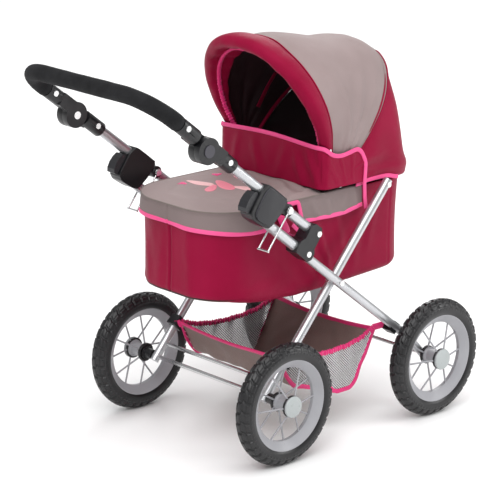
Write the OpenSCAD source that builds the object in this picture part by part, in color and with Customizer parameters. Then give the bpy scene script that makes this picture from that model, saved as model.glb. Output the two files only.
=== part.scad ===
// Folding doll stroller: scissor frame, height-adjustable push handle,
// fabric carrycot with apron and folding hood, and a storage basket.
// Frame of the part: +Z up, +X towards the hood end, +Y to the left,
// origin on the floor below the middle of the whole stroller.

/* [Wheels] */
// Outer diameter of the tyres
wheel_d = 192; // [188:0.5:193]
// Width of a tyre
tyre_w = 30; // [28:0.5:31]
// Distance between the wheel mid planes across the stroller
track = 335.6; // [335:0.2:340]
// Number of spokes in a wheel
spokes = 12; // [8:2:16]
// Diameter of a spoke
spoke_d = 2.8; // [2:0.1:3.5]
// Diameter of the axles
axle_d = 7; // [6:0.1:7.5]

/* [Frame] */
// Diameter of the front and rear leg tubes
leg_d = 14; // [12:0.1:14]
// Diameter of the handle and latch tubes
tube_d = 16; // [14:0.1:16]
// Wall thickness of the tubes
wall = 1.2; // [0.8:0.1:2]
// Slope of the front legs and of the push handle, in degrees
slope = 37.6; // [37:0.1:38]
// Distance of the handle tubes from the middle plane
handle_y = 148.6; // [148.4:0.1:149]

/* [Handle] */
// Diameter of the foam grip
foam_d = 25; // [22:0.5:26]
// Bend radius of the handle corners
bend_r = 58; // [45:1:66]
// Diameter of the height adjuster drum
drum_d = 40; // [36:1:42]
// Diameter of the adjuster push button
button_d = 19; // [16:0.5:22]

/* [Carrycot] */
// Half width of the carrycot bag
bag_hw = 106; // [100:0.5:106.5]
// Height of the underside of the bag above the floor
bag_z0 = 245; // [243:1:250]
// Height of the top edge of the bag above the floor
bag_z1 = 387; // [380:1:388]
// Thickness of the padded bag wall
bag_t = 4; // [3:0.5:5]

/* [Hood] */
// Radius of the hood top around its hinge
hood_r = 207; // [200:1:208]
// Radius of the padded rim around the hood hinge
rim_r = 236; // [230:1:240]
// Half width of the padded rim
rim_hw = 127.5; // [124:0.5:128]

/* [Hidden] */
$fn = 48;

R = wheel_d/2;
ty = track/2;
xr = -82.3;               // rear axle
xf = 250.3;               // front axle
P = [55, 254.5];          // scissor pivot, x and z
B = [-70, 395];           // handle hinge, x and z
H = [80, 402];            // hood hinge, x and z
fy = 141.5;               // front leg plane
ry = 126.5;               // rear leg plane
lr = leg_d/2;
tr = tube_d/2;
ar = axle_d/2;
fit = 0.05;               // running clearance on the radius
ta = -35;                 // latch tube below the handle line
ds = 200.5;               // drum centre along the handle line
dt = -6.7;                // drum centre across the handle line
us = 256;                 // upper rivet along the handle line
gs = 333;                 // crossbar along the handle line

silver = [0.78,0.79,0.80];
black = [0.09,0.09,0.10];
grey = [0.45,0.46,0.48];
burgundy = [0.50,0.05,0.16];
taupe = [0.47,0.42,0.40];

// cylinder from point a to point b
module rod(a, b, r) {
  v = b-a; l = norm(v);
  translate(a) rotate([0, acos(v[2]/l), atan2(v[1], v[0])]) cylinder(r=r, h=l);
}
// cylinder along Y between y0 and y1 at x, z
module ycyl(x, z, y0, y1, r) translate([x, y0, z]) rotate([-90,0,0]) cylinder(r=r, h=y1-y0);
// sloping frame: local -X runs up and back along the handle, local Z is square to it
module inc(o) translate([o[0], 0, o[1]]) rotate([0, slope, 0]) children();
// both sides of the stroller
module pair() { children(); mirror([0,1,0]) children(); }
module side(s) { if (s > 0) children(); else mirror([0,1,0]) children(); }

// ---------- wheels ----------
function arcpts(cx, cy, rx, ry, a0, a1, n) = [for (i=[0:n]) let(a=a0+(a1-a0)*i/n) [cx+rx*cos(a), cy+ry*sin(a)]];
module at_wheel(x, s) translate([x, s*ty, R]) rotate([s > 0 ? -90 : 90, 0, 0]) children();
module tyre(x, s) color(black) at_wheel(x, s)
  rotate_extrude($fn=96) polygon(concat(
    [[66.6,-7.6],[71.6,-12.6]], arcpts(80, 0, R-80, tyre_w/2, -90, 90, 20), [[71.6,12.6],[66.6,7.6]]));
module rim(x, s) color(grey) at_wheel(x, s) difference() {
  union() {
    rotate_extrude($fn=96) polygon([[58,-3],[58,3],[70.4,12.6],[71.6,12.6],[66.6,7.6],[66.6,-7.6],[71.6,-12.6],[70.4,-12.6]]);
    rotate_extrude($fn=64) polygon([[0,-16],[13,-16],[13,-10],[10.5,-7],[10.5,9],[15,13],[16,17],[16,18.4],[0,18.4]]);
    for (i=[0:spokes-1]) rotate(i*360/spokes)
      rod(i%2==0 ? [12.5,0,15] : [10.5,0,-13], [60,0,i%2==0 ? 1 : -1], spoke_d/2);
  }
  translate([0,0,-20]) cylinder(r=ar+fit, h=40);
}
module hub_cap(x, s) color([0.7,0.71,0.73]) at_wheel(x, s)
  rotate_extrude($fn=64) polygon([[0,18.6],[16.8,18.6],[17,19.4],[16,21],[10,22.2],[0,22.6]]);

// ---------- fixed frame ----------
module front_axle() color(silver) rod([xf,-ty-18,R],[xf,ty+18,R],ar);
module front_washers() color(black) pair() difference() {
  ycyl(xf, R, fy+lr+0.2, ty-16.5, 11);
  ycyl(xf, R, 100, 180, ar);
}
// straight tube with a hollow bore in the sloping frame
module slope_tube(x0, x1, z, r, y) difference() {
  translate([x0, y, z]) rotate([0,90,0]) cylinder(r=r, h=x1-x0);
  translate([x0+1.5, y, z]) rotate([0,90,0]) cylinder(r=r-wall, h=x1-x0-3);
}
module front_leg(s) color(silver) side(s) difference() {
  union() {
    inc(P) translate([-113.5,fy,0]) rotate([0,90,0]) cylinder(r=lr, h=113.5+213);
    rod([P[0]+206*cos(slope), fy, P[1]-206*sin(slope)], [xf+7, fy, R-7.5], lr-0.3);
  }
  inc(P) translate([-112,fy,0]) rotate([0,90,0]) cylinder(r=lr-wall, h=296);
  inc(B) ycyl(78, ta, 100, 170, 2.5);
  ycyl(xf, R, 100, 180, ar);
  ycyl(P[0], P[1], 100, 180, 2.5);
}
module latch_tubes() color(silver) pair() inc(B) difference() {
  union() {
    translate([-50,handle_y,ta]) rotate([0,90,0]) cylinder(r=tr, h=112);
    translate([62,handle_y,ta]) sphere(r=tr);
  }
  translate([-52,handle_y,ta]) rotate([0,90,0]) cylinder(r=tr-wall, h=112);
}
module hinge_tubes() color(silver) pair() inc(B) slope_tube(10.5, 68, 0, tr, handle_y);
module bracket(s) color(black) side(s) inc(B) difference() {
  translate([0,160.2,0]) rotate([90,0,0]) linear_extrude(23.4)
    polygon([[54,-45],[84,-45],[89,-39],[89,-29],[84,-23],[84,3],[78,10],[64,10],[57,4],[57,-18],[51,-26],[51,-41]]);
  // seats of the three tubes and of the rivets
  translate([40,handle_y,ta]) rotate([0,90,0]) cylinder(r=tr+0.02, h=22);
  translate([62,handle_y,ta]) sphere(r=tr+0.02);
  translate([40,handle_y,0]) rotate([0,90,0]) cylinder(r=tr+0.02, h=28);
  front_leg_seat();
  for (z=[ta,-0]) ycyl(78, z, 120, 170, 2.5);
}
// front leg line seen from the handle hinge frame
module front_leg_seat() {
  o = [(P[0]-B[0])*cos(slope)-(P[1]-B[1])*sin(slope), (P[0]-B[0])*sin(slope)+(P[1]-B[1])*cos(slope)];
  translate([o[0]-113.5,fy,o[1]]) rotate([0,90,0]) cylinder(r=lr+0.02, h=60);
}
module hinge_knuckles() color(black) pair() difference() {
  union() {
    ycyl(B[0], B[1], 140.2, 149.5, 9.5);
    inc(B) translate([4,handle_y-4,0]) rotate([0,90,0]) cylinder(r=4, h=7);
  }
  ycyl(B[0], B[1], 100, 180, 3);
  inc(B) translate([10.48,handle_y,0]) rotate([0,90,0]) cylinder(r=tr+0.02, h=20);
}
module hinge_pins() color([0.9,0.9,0.92]) pair() {
  ycyl(B[0], B[1], 136.4, 160.6, 3);
  ycyl(B[0], B[1], 160.6, 162.4, 5);
  ycyl(B[0], B[1], 134.8, 136.4, 5);
}
module pivot_pins() color([0.85,0.85,0.87]) pair() {
  ycyl(P[0], P[1], ry-lr-0.4, fy+lr+0.1, 2.5);
  ycyl(P[0], P[1], fy+lr+0.1, fy+lr+1.8, 4.5);
  ycyl(P[0], P[1], ry-lr-1.8, ry-lr-0.4, 4.5);
}
module frame_rivets() color([0.9,0.9,0.92]) pair() {
  inc(B) for (z=[ta,0]) { ycyl(78, z, 137, 160.3, 2.5); ycyl(78, z, 160.3, 161.8, 4.6); }
  // hood hinge pins
  ycyl(H[0], H[1], 104, 117, 2.5);
}
module front_clamps() color(black) pair() inc(P) difference() {
  translate([153,fy-12.5,-11.5]) cube([15,17,18]);
  translate([140,fy,0]) rotate([0,90,0]) cylinder(r=lr+0.02, h=40);
}
// ---------- carrycot ----------
module outline(x0, x1, hw, r0, r1) {
  polygon(concat(arcpts(x0+r0,-hw+r0,r0,r0,180,270,12), arcpts(x1-r1,-hw+r1,r1,r1,270,360,10),
                 arcpts(x1-r1,hw-r1,r1,r1,0,90,10), arcpts(x0+r0,hw-r0,r0,r0,90,180,12)));
}
bx0 = -168; bx1 = 250;
module carrycot_bag() color(burgundy) difference() {
  translate([0,0,bag_z0]) linear_extrude(bag_z1-bag_z0) outline(bx0, bx1, bag_hw, 76, 50);
  translate([0,0,bag_z0+bag_t]) linear_extrude(200) outline(bx0+bag_t, bx1-bag_t, bag_hw-bag_t, 72, 46);
  pin_hole();
}
sp = [B[0]+70*cos(slope)-17*sin(slope), B[1]-70*sin(slope)-17*cos(slope)];
module pin_hole() { ycyl(sp[0], sp[1], 90, 140, 3.1); ycyl(sp[0], sp[1], -140, -90, 3.1); }
module carrycot_frame() color(silver) {
  w = 97; a0 = bx0+bag_t+5; a1 = bx1-bag_t-5; q0 = 66; q1 = 40; z = 380; r = 3;
  for (s=[-1,1]) {
    rod([a0+q0,s*w,z],[a1-q1,s*w,z],r);
    rod([sp[0],s*w,sp[1]],[sp[0],s*w,z],r);
    rod([sp[0],s*w,sp[1]],[sp[0],s*136.6,sp[1]],r);
    translate([sp[0],s*w,sp[1]]) sphere(r=r);
  }
  rod([a0,-w+q0,z],[a0,w-q0,z],r);
  rod([a1,-w+q1,z],[a1,w-q1,z],r);
  for (s=[0,1]) mirror([0,s,0]) {
    translate([a0+q0,w-q0,z]) rotate([0,0,90]) rotate_extrude(angle=90) translate([q0,0]) circle(r=r);
    translate([a1-q1,w-q1,z]) rotate_extrude(angle=90) translate([q1,0]) circle(r=r);
  }
}
module base_board() color([0.35,0.3,0.27]) translate([0,0,bag_z0+bag_t]) linear_extrude(3) outline(bx0+6, bx1-6, bag_hw-6, 70, 44);
module mattress() color([0.9,0.86,0.86]) translate([0,0,bag_z0+bag_t+3]) linear_extrude(24) outline(bx0+8, bx1-8, bag_hw-8, 68, 42);
module apron() color(taupe) difference() {
  union() {
    translate([0,0,388]) linear_extrude(7) outline(bx0-3, 128, bag_hw+4, 78, 6);
    translate([0,0,350]) linear_extrude(38) outline(bx0-3, 128, bag_hw+4, 78, 6);
  }
  translate([0,0,340]) linear_extrude(48) outline(bx0-0.4, 300, bag_hw+0.6, 76.4, 50);
  // the cover stops at the hood opening
  translate([46,-102,380]) cube([100,204,30]);
}
module windscreen_flap() color(burgundy) difference() {
  translate([0,0,396]) linear_extrude(66) outline(38, 200, 118.8, 16, 6);
  translate([0,0,390]) linear_extrude(80) outline(40, 204, 117.2, 14.4, 6);
  translate([122,-130,380]) cube([100,260,100]);
  translate([62,-130,450]) cube([100,260,20]);
}
// ---------- hood ----------
// band of an arch in hinge radius r and half width y
function arch(w, r0, r1, R, n) = concat([[r0,w]], [for (i=[0:n]) let(a=90*i/n) [r1+(R-r1)*sin(a), w*cos(a)]]);
function flip(p) = [for (i=[len(p)-1:-1:0]) [p[i][0], -p[i][1]]];
function back(p) = [for (i=[len(p)-1:-1:0]) p[i]];
function full(p) = concat(p, [for (i=[len(p)-2:-1:0]) [p[i][0], -p[i][1]]]);
module band(w, r0, r1, R, t, a0, a1) translate([H[0],0,H[1]]) rotate([90,0,0]) rotate([0,0,a0])
  rotate_extrude(angle=a1-a0, $fn=72) polygon(concat(full(arch(w,r0,r1,R,14)), back(full(arch(w-t,r0,r1,R-t,14)))));
module hood_canopy() color(taupe) band(112, 42, 84, hood_r, 3, 49, 102);
module hood_rim() color(burgundy) band(rim_hw, 70, 84, rim_r, 13, 105, 118);
module hood_bow() color(silver) difference() {
  union() {
    band(116.6, 3, 84, 225, 3, 111, 113);
    for (s=[-1,1]) ycyl(H[0], H[1], s>0 ? 113.6 : -116.6, s>0 ? 116.6 : -113.6, 6);
  }
  ycyl(H[0], H[1], -130, 130, 2.5+fit);
}
module hood_rear_bow() color(silver) band(108.4, 12, 84, 236, 3, 43.5, 45.5);
module hood_back() color(burgundy) difference() {
  hull() {
    bow_slab(112, 244, 3);
    translate([0,0,396]) linear_extrude(2) outline(84, 262, 110, 6, 52);
  }
  hull() {
    bow_slab(109, 241, 60);
    translate([0,0,380]) linear_extrude(2) outline(60, 258, 106.5, 6, 48);
  }
}
// slab of the arch plane at the rear bow, used to shape the back panel
module bow_slab(w, R, t) translate([H[0],0,H[1]]) rotate([90,0,0]) rotate([0,0,43]) rotate([90,0,0])
  mirror([0,0,1]) linear_extrude(t) polygon(full(arch(w,10,84,R,10)));
// ---------- basket ----------
module basket() color(taupe) difference() {
  basket_body(114, [[-46,150],[-13,93],[20,81],[66,77],[75,61],[118,59],[170,152]]);
  basket_body(111.5, [[-42,170],[-42.3,150],[-10.5,96],[20,84],[68,80],[77,64],[116.5,62],[166.5,152],[166.5,170]]);
}
module basket_body(w, pts) translate([0,w,0]) rotate([90,0,0]) linear_extrude(2*w) polygon(pts);
// ---------- rear frame ----------
rl0 = [170.5, 388]; // top of the rear leg
module rear_leg(s) color(silver) side(s) {
  d = [rl0[0]-xr, rl0[1]-R]/norm([rl0[0]-xr, rl0[1]-R]);
  a = [rl0[0]+8*d[0], ry, rl0[1]+8*d[1]];
  b = [xr-8*d[0], ry, R-8*d[1]];
  difference() {
    rod(a, b, lr);
    rod([a[0]-d[0]*1.5, ry, a[2]-d[1]*1.5], [b[0]+d[0]*1.5, ry, b[2]+d[1]*1.5], lr-wall);
    ycyl(xr, R, 100, 150, ar);
    ycyl(-66, 114.8, 100, ry, 3.2);
    ycyl(P[0], P[1], 100, 150, 2.5+fit);
    ycyl(rl0[0], rl0[1], 100, 150, 2.5);
  }
}
module rear_axle() color(silver) rod([xr,-ty-18,R],[xr,ty+18,R],ar);
module cross_rod() color(silver) rod([-66,-ry,114.8],[-66,ry,114.8],3.2);
module rear_spacers() color(black) pair() difference() {
  union() { ycyl(xr, R, ry+lr+0.2, ty-19, 8); ycyl(xr, R, ty-19, ty-16.5, 11); }
  ycyl(xr, R, 100, 180, ar);
}
module rear_clamps() color(black) pair() difference() {
  translate([-41,ry-11.8,144]) rotate([0,49.2,0]) translate([-11,0,-9]) cube([20,19.2,18]);
  rod([xr,ry,R],[rl0[0],ry,rl0[1]],lr+0.02);
}
module rear_rivets() color([0.9,0.9,0.92]) pair() {
  ycyl(rl0[0], rl0[1], ry-5, ry+lr+0.1, 2.5);
  ycyl(rl0[0], rl0[1], ry+lr+0.1, ry+lr+1.5, 4.2);
}
// ---------- push handle ----------
module pusher_tubes() color(silver) pair() inc(B) difference() {
  slope_tube(-174, -16, 0, tr, handle_y);
  ycyl(-153.5, 0, 100, 170, 2.5);
}
module latch_housing(s) color(black) side(s) inc(B) difference() {
  union() {
    translate([0,161,0]) rotate([90,0,0]) linear_extrude(24.6)
      polygon(concat([[-14,8],[-14,-12]], [[-20,-36],[-26,-43]], [[-54,-46],[-64,-44],[-69,-38],[-70,-6],[-66,6],[-60,11],[-24,11]]));
    translate([0,149.9,0]) rotate([-90,0,0]) cylinder(r=9.5, h=6.9);
    translate([-18,149.9,-9.5]) cube([18,6.9,17]);
  }
  // seat of the handle tube, slot over the latch tube, hinge bore, latch bolt bore
  translate([-80,handle_y,0]) rotate([0,90,0]) cylinder(r=tr+0.02, h=64);
  translate([-56,handle_y-8.6,-70]) cube([60,17.2,43.4]);
  ycyl(0, 0, 100, 180, 3+fit);
  translate([-90,handle_y,ta]) rotate([0,90,0]) cylinder(r=3+fit, h=50);
}
module latch_lever(s) color(grey) side(s) inc(B) {
  translate([0,handle_y+8.5,0]) rotate([90,0,0]) linear_extrude(17)
    polygon([[-70.6,-42],[-70.6,-12],[-74,-8],[-79,-10],[-82,-18],[-83,-28],[-81,-38],[-77,-43]]);
  translate([-71,handle_y,ta]) rotate([0,90,0]) cylinder(r=3, h=19);
}
module lower_connectors() color(black) pair() inc(B) difference() {
  union() {
    translate([-176,handle_y,0]) rotate([0,90,0]) cylinder(r=11.8, h=38);
    translate([-ds,149,-13]) cube([34,11.6,23]);
    ycyl(-ds, dt, 149, 160.6, drum_d/2);
  }
  translate([-174,handle_y,0]) rotate([0,90,0]) cylinder(r=tr+0.02, h=60);
  ycyl(-ds, dt, 152.8, 170, button_d/2+fit);
  ycyl(-ds, dt, 100, 170, 4);
  ycyl(-153.5, 0, 100, 170, 2.5);
}
module upper_connectors() color(black) pair() inc(B) difference() {
  union() {
    translate([-266,handle_y,0]) rotate([0,90,0]) cylinder(r=11.8, h=38);
    translate([-240,136.8,-11]) cube([40,11.8,21]);
    ycyl(-ds, dt, 136.8, 148.6, drum_d/2);
  }
  translate([-280,handle_y,0]) rotate([0,90,0]) cylinder(r=tr+0.02, h=50);
  ycyl(-ds, dt, 100, 170, 4+fit);
  ycyl(-us, 0, 100, 170, 2.5);
}
module handle_rivets() color([0.9,0.9,0.92]) pair() inc(B) {
  ycyl(-ds, dt, 136.4, 152.6, 4);
  ycyl(-ds, dt, 134.9, 136.4, 6);
  rivet_pair(-153.5);
}
// two rivet halves that stop short of the tube bore
module rivet_pair(x) {
  ycyl(x, 0, handle_y-11.8, handle_y+11.8, 2.5);
  ycyl(x, 0, handle_y+11.8, handle_y+13, 4.4);
  ycyl(x, 0, handle_y-13, handle_y-11.8, 4.4);
}
module grip_rivets() color([0.9,0.9,0.92]) pair() inc(B) rivet_pair(-us);
// half of the U-shaped bar, of radius r, from s0 along the arm
module ubar(r, s0) {
  yb = handle_y-bend_r;
  pair() {
    translate([-gs+bend_r,handle_y,0]) rotate([0,90,0]) cylinder(r=r, h=gs-bend_r-s0);
    translate([-gs+bend_r,yb,0]) rotate([0,0,90]) rotate_extrude(angle=90) translate([bend_r,0]) circle(r=r);
  }
  translate([-gs,-yb,0]) rotate([-90,0,0]) cylinder(r=r, h=2*yb);
}
module grip_tube() color(silver) inc(B) difference() {
  ubar(tr, 230);
  pair() { ycyl(-us, 0, 100, 170, 2.5); }
}
module foam_grip() color(black) inc(B) difference() { ubar(foam_d/2, 266.2); ubar(tr+0.02, 200); }
module adjust_button(s) color(grey) side(s) inc(B) ycyl(-ds, dt, 156, 162, button_d/2);
module bail(s) color(silver) side(s) inc(B) rotate([0,0.5,0]) {
  for (y=[138.3,158.7]) {
    difference() { ycyl(0, 0, y-1.5, y+1.5, 6); ycyl(0, 0, 100, 170, 3+fit); }
    translate([0,y,-70]) cylinder(r=1.45, h=65);
  }
  ycyl(0, -70, 136.8, 160.2, 1.5);
}

tyre(xf, 1);  // tyre_front_left
tyre(xf, -1);  // tyre_front_right
tyre(xr, 1);  // tyre_rear_left
tyre(xr, -1);  // tyre_rear_right
rim(xf, 1);  // rim_front_left
rim(xf, -1);  // rim_front_right
rim(xr, 1);  // rim_rear_left
rim(xr, -1);  // rim_rear_right
hub_cap(xf, 1);  // hub_cap_front_left
hub_cap(xf, -1);  // hub_cap_front_right
hub_cap(xr, 1);  // hub_cap_rear_left
hub_cap(xr, -1);  // hub_cap_rear_right
front_axle();
front_washers();
front_leg(1);  // front_leg_left
front_leg(-1);  // front_leg_right
latch_tubes();
hinge_tubes();
bracket(1);  // bracket_left
bracket(-1);  // bracket_right
hinge_knuckles();
hinge_pins();
pivot_pins();
frame_rivets();
front_clamps();
carrycot_frame();
base_board();
mattress();
carrycot_bag();
apron();
windscreen_flap();
hood_canopy();
hood_back();
hood_rear_bow();
basket();
rear_axle();
cross_rod();
rear_leg(1);  // rear_leg_left
rear_leg(-1);  // rear_leg_right
rear_spacers();
rear_clamps();
rear_rivets();
pusher_tubes();
latch_housing(1);  // latch_housing_left
latch_housing(-1);  // latch_housing_right
lower_connectors();
handle_rivets();
upper_connectors();
grip_tube();
foam_grip();
grip_rivets();
latch_lever(1);  // latch_lever_left
latch_lever(-1);  // latch_lever_right
adjust_button(1);  // adjust_button_left
adjust_button(-1);  // adjust_button_right
bail(1);  // bail_left
bail(-1);  // bail_right
hood_rim();
hood_bow();
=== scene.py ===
import bpy, bmesh, math
import numpy as np
from mathutils import Vector, Matrix


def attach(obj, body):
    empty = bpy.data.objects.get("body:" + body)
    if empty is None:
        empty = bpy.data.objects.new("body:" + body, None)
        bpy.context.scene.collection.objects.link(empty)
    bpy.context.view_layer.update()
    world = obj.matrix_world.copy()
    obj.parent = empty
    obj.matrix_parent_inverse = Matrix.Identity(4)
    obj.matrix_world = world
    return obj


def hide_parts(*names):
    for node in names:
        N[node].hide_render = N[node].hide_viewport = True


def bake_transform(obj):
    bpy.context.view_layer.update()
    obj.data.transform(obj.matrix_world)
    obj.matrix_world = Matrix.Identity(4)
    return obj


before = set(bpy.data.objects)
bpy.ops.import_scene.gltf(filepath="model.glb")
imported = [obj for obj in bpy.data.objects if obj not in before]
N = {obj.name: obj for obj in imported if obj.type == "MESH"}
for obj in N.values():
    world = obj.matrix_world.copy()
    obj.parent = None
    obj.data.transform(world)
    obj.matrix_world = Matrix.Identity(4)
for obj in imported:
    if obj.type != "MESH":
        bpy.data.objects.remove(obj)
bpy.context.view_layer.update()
SCN = bpy.context.scene
SCN.view_settings.view_transform = "Standard"

# ------------------------------------------------------------------ camera, floor, light
def camera():
    d = bpy.data.cameras.new("camera"); o = bpy.data.objects.new("camera", d)
    SCN.collection.objects.link(o)
    r = math.radians(0.71)
    x = Vector((0.7264, -0.6873, 0.0)); y = Vector((0.1951, 0.2062, 0.9589)); z = Vector((-0.6590, -0.6965, 0.2838))
    a = math.cos(r) * x + math.sin(r) * y; b = -math.sin(r) * x + math.cos(r) * y
    o.matrix_world = Matrix(((a.x, b.x, z.x, -2.4102), (a.y, b.y, z.y, -2.5479), (a.z, b.z, z.z, 1.3233), (0, 0, 0, 1)))
    d.lens = 168.6; d.sensor_width = 36; d.clip_start = 0.05; d.clip_end = 60
    SCN.camera = o
camera()

def stage():
    me = bpy.data.meshes.new("floor")
    me.from_pydata([(-12, -12, 0), (12, -12, 0), (12, 12, 0), (-12, 12, 0)], [], [(0, 1, 2, 3)])
    o = bpy.data.objects.new("floor", me); SCN.collection.objects.link(o)
    m = bpy.data.materials.new("pale_floor"); m.use_nodes = True
    b = m.node_tree.nodes["Principled BSDF"]
    b.inputs["Base Color"].default_value = (0.93, 0.93, 0.93, 1); b.inputs["Roughness"].default_value = 0.55
    b.inputs["Specular IOR Level"].default_value = 0.15
    me.materials.append(m)
    w = bpy.data.worlds.new("studio"); w.use_nodes = True; SCN.world = w
    w.node_tree.nodes["Background"].inputs[0].default_value = (1, 1, 1, 1)
    w.node_tree.nodes["Background"].inputs[1].default_value = 0.45
    def area(name, loc, target, size, power):
        l = bpy.data.lights.new(name, "AREA"); l.shape = "RECTANGLE"; l.size, l.size_y = size; l.energy = power
        q = bpy.data.objects.new(name, l); SCN.collection.objects.link(q); q.location = loc
        q.rotation_euler = (Vector(target) - Vector(loc)).to_track_quat("-Z", "Y").to_euler()
    l = bpy.data.lights.new("sky", "SUN"); l.energy = 2.5; l.angle = math.radians(75)
    q = bpy.data.objects.new("sky", l); SCN.collection.objects.link(q); q.rotation_euler = Vector((0.25, 0.28, -1)).to_track_quat("-Z", "Y").to_euler()
    area("key", (-1.9, -1.2, 1.9), (0, 0, 0.35), (0.9, 0.9), 12)
    area("rim", (1.8, 1.5, 1.7), (0, 0, 0.35), (0.8, 1.3), 14)
    area("side", (1.9, -1.7, 1.0), (0.15, 0, 0.4), (0.5, 1.2), 14)
stage()

# ------------------------------------------------------------------ materials
def nt(name):
    m = bpy.data.materials.new(name); m.use_nodes = True
    t = m.node_tree; return m, t, t.nodes["Principled BSDF"]
def node(t, kind, **kw):
    n = t.nodes.new(kind)
    for k, v in kw.items():
        if k in n.inputs: n.inputs[k].default_value = v
        else: setattr(n, k, v)
    return n
def ramp(t, fac, stops):
    r = t.nodes.new("ShaderNodeValToRGB"); e = r.color_ramp.elements
    while len(e) < len(stops): e.new(0.5)
    for q, (p, c) in zip(e, stops): q.position = p; q.color = (*c, 1) if len(c) == 3 else c
    t.links.new(fac, r.inputs[0]); return r
def noise(t, co, scale, detail=4, rough=0.55):
    n = node(t, "ShaderNodeTexNoise"); n.inputs["Scale"].default_value = scale
    n.inputs["Detail"].default_value = detail; n.inputs["Roughness"].default_value = rough
    t.links.new(co, n.inputs["Vector"]); return n
def math_(t, op, a, b=None, v=None):
    n = t.nodes.new("ShaderNodeMath"); n.operation = op
    for i, s in enumerate((a, b)):
        if s is None: continue
        if isinstance(s, (int, float)): n.inputs[i].default_value = s
        else: t.links.new(s, n.inputs[i])
    return n.outputs[0]
def bump(t, bsdf, height, dist, strength=1.0, chain=None):
    b = t.nodes.new("ShaderNodeBump"); b.inputs["Distance"].default_value = dist; b.inputs["Strength"].default_value = strength
    t.links.new(height, b.inputs["Height"])
    if chain is not None: t.links.new(chain.outputs[0], b.inputs["Normal"])
    t.links.new(b.outputs[0], bsdf.inputs["Normal"]); return b

def fabric(name, dark, light, rough=0.5, sheen=0.35, weave=0.00055, dist=0.00006, spec=0.45, tint=None, depth=1.0, stint=None):
    m, t, b = nt(name)
    tc = t.nodes.new("ShaderNodeTexCoord").outputs["Object"]
    at = t.nodes.new("ShaderNodeAttribute"); at.attribute_name = "cloth"; cl = at.outputs["Vector"]
    waves = []
    for ax in ("X", "Y"):
        w = node(t, "ShaderNodeTexWave"); w.wave_type = "BANDS"; w.bands_direction = ax
        w.inputs["Scale"].default_value = 0.314 / weave; w.inputs["Distortion"].default_value = 0.6
        w.inputs["Detail"].default_value = 1; w.inputs["Detail Scale"].default_value = 1.5
        t.links.new(cl, w.inputs["Vector"]); waves.append(w.outputs["Fac"])
    wv = math_(t, "MULTIPLY", waves[0], waves[1])
    big = noise(t, tc, 9, 3); fine = noise(t, tc, 900, 2)
    mixn = math_(t, "ADD", math_(t, "MULTIPLY", big.outputs["Fac"], 0.7), math_(t, "MULTIPLY", wv, 0.3))
    c = ramp(t, mixn, [(0.28, dark), (0.72, light)])
    t.links.new(c.outputs[0], b.inputs["Base Color"])
    r = ramp(t, fine.outputs["Fac"], [(0.3, (rough - 0.05,) * 3), (0.7, (rough + 0.07,) * 3)])
    t.links.new(r.outputs[0], b.inputs["Roughness"])
    b.inputs["Specular IOR Level"].default_value = spec
    b.inputs["Sheen Weight"].default_value = sheen; b.inputs["Sheen Roughness"].default_value = 0.45
    if tint: b.inputs["Sheen Tint"].default_value = (*tint, 1)
    if stint: b.inputs["Specular Tint"].default_value = (*stint, 1)
    soft = noise(t, tc, 42, 3, 0.5)
    b1 = bump(t, b, soft.outputs["Fac"], 0.0011 * depth, 0.55)
    bump(t, b, math_(t, "ADD", wv, math_(t, "MULTIPLY", fine.outputs["Fac"], 0.35)), dist, 1.0, b1)
    return m

def plastic(name, col, rough=0.42, grain=1500, dist=0.00004, spec=0.5, var=0.35):
    m, t, b = nt(name)
    tc = t.nodes.new("ShaderNodeTexCoord").outputs["Object"]
    big = noise(t, tc, 25, 5); c = ramp(t, big.outputs["Fac"], [(0.3, tuple(x * (1 - var * 0.4) for x in col)), (0.75, tuple(min(1, x * (1 + var * 0.5)) for x in col))])
    t.links.new(c.outputs[0], b.inputs["Base Color"])
    g = noise(t, tc, grain, 2)
    r = ramp(t, noise(t, tc, 60, 4).outputs["Fac"], [(0.3, (rough - 0.07,) * 3), (0.75, (rough + 0.09,) * 3)])
    t.links.new(r.outputs[0], b.inputs["Roughness"]); b.inputs["Specular IOR Level"].default_value = spec
    bump(t, b, g.outputs["Fac"], dist, 0.8)
    return m

def metal(name, col, rough=0.25, metallic=1.0, scale=260, dist=0.00001, coat=0.0):
    m, t, b = nt(name)
    tc = t.nodes.new("ShaderNodeTexCoord").outputs["Object"]
    n = noise(t, tc, scale, 3); sm = noise(t, tc, 14, 4)
    c = ramp(t, sm.outputs["Fac"], [(0.3, tuple(x * 0.93 for x in col)), (0.7, col)])
    t.links.new(c.outputs[0], b.inputs["Base Color"])
    r = ramp(t, sm.outputs["Fac"], [(0.25, (rough - 0.05,) * 3), (0.8, (rough + 0.08,) * 3)])
    t.links.new(r.outputs[0], b.inputs["Roughness"])
    b.inputs["Metallic"].default_value = metallic; b.inputs["Coat Weight"].default_value = coat
    bump(t, b, n.outputs["Fac"], dist, 0.6)
    return m

def rubber(name):
    m, t, b = nt(name)
    tc = t.nodes.new("ShaderNodeTexCoord").outputs["Object"]
    big = noise(t, tc, 30, 5); v = node(t, "ShaderNodeTexVoronoi"); v.inputs["Scale"].default_value = 900
    t.links.new(tc, v.inputs["Vector"])
    c = ramp(t, big.outputs["Fac"], [(0.3, (0.0045, 0.0045, 0.0055)), (0.75, (0.012, 0.0115, 0.013))])
    t.links.new(c.outputs[0], b.inputs["Base Color"])
    r = ramp(t, big.outputs["Fac"], [(0.3, (0.27,) * 3), (0.75, (0.42,) * 3)]); t.links.new(r.outputs[0], b.inputs["Roughness"])
    b.inputs["Specular IOR Level"].default_value = 0.5; bump(t, b, v.outputs["Distance"], 0.00010, 0.6); return m

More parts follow.
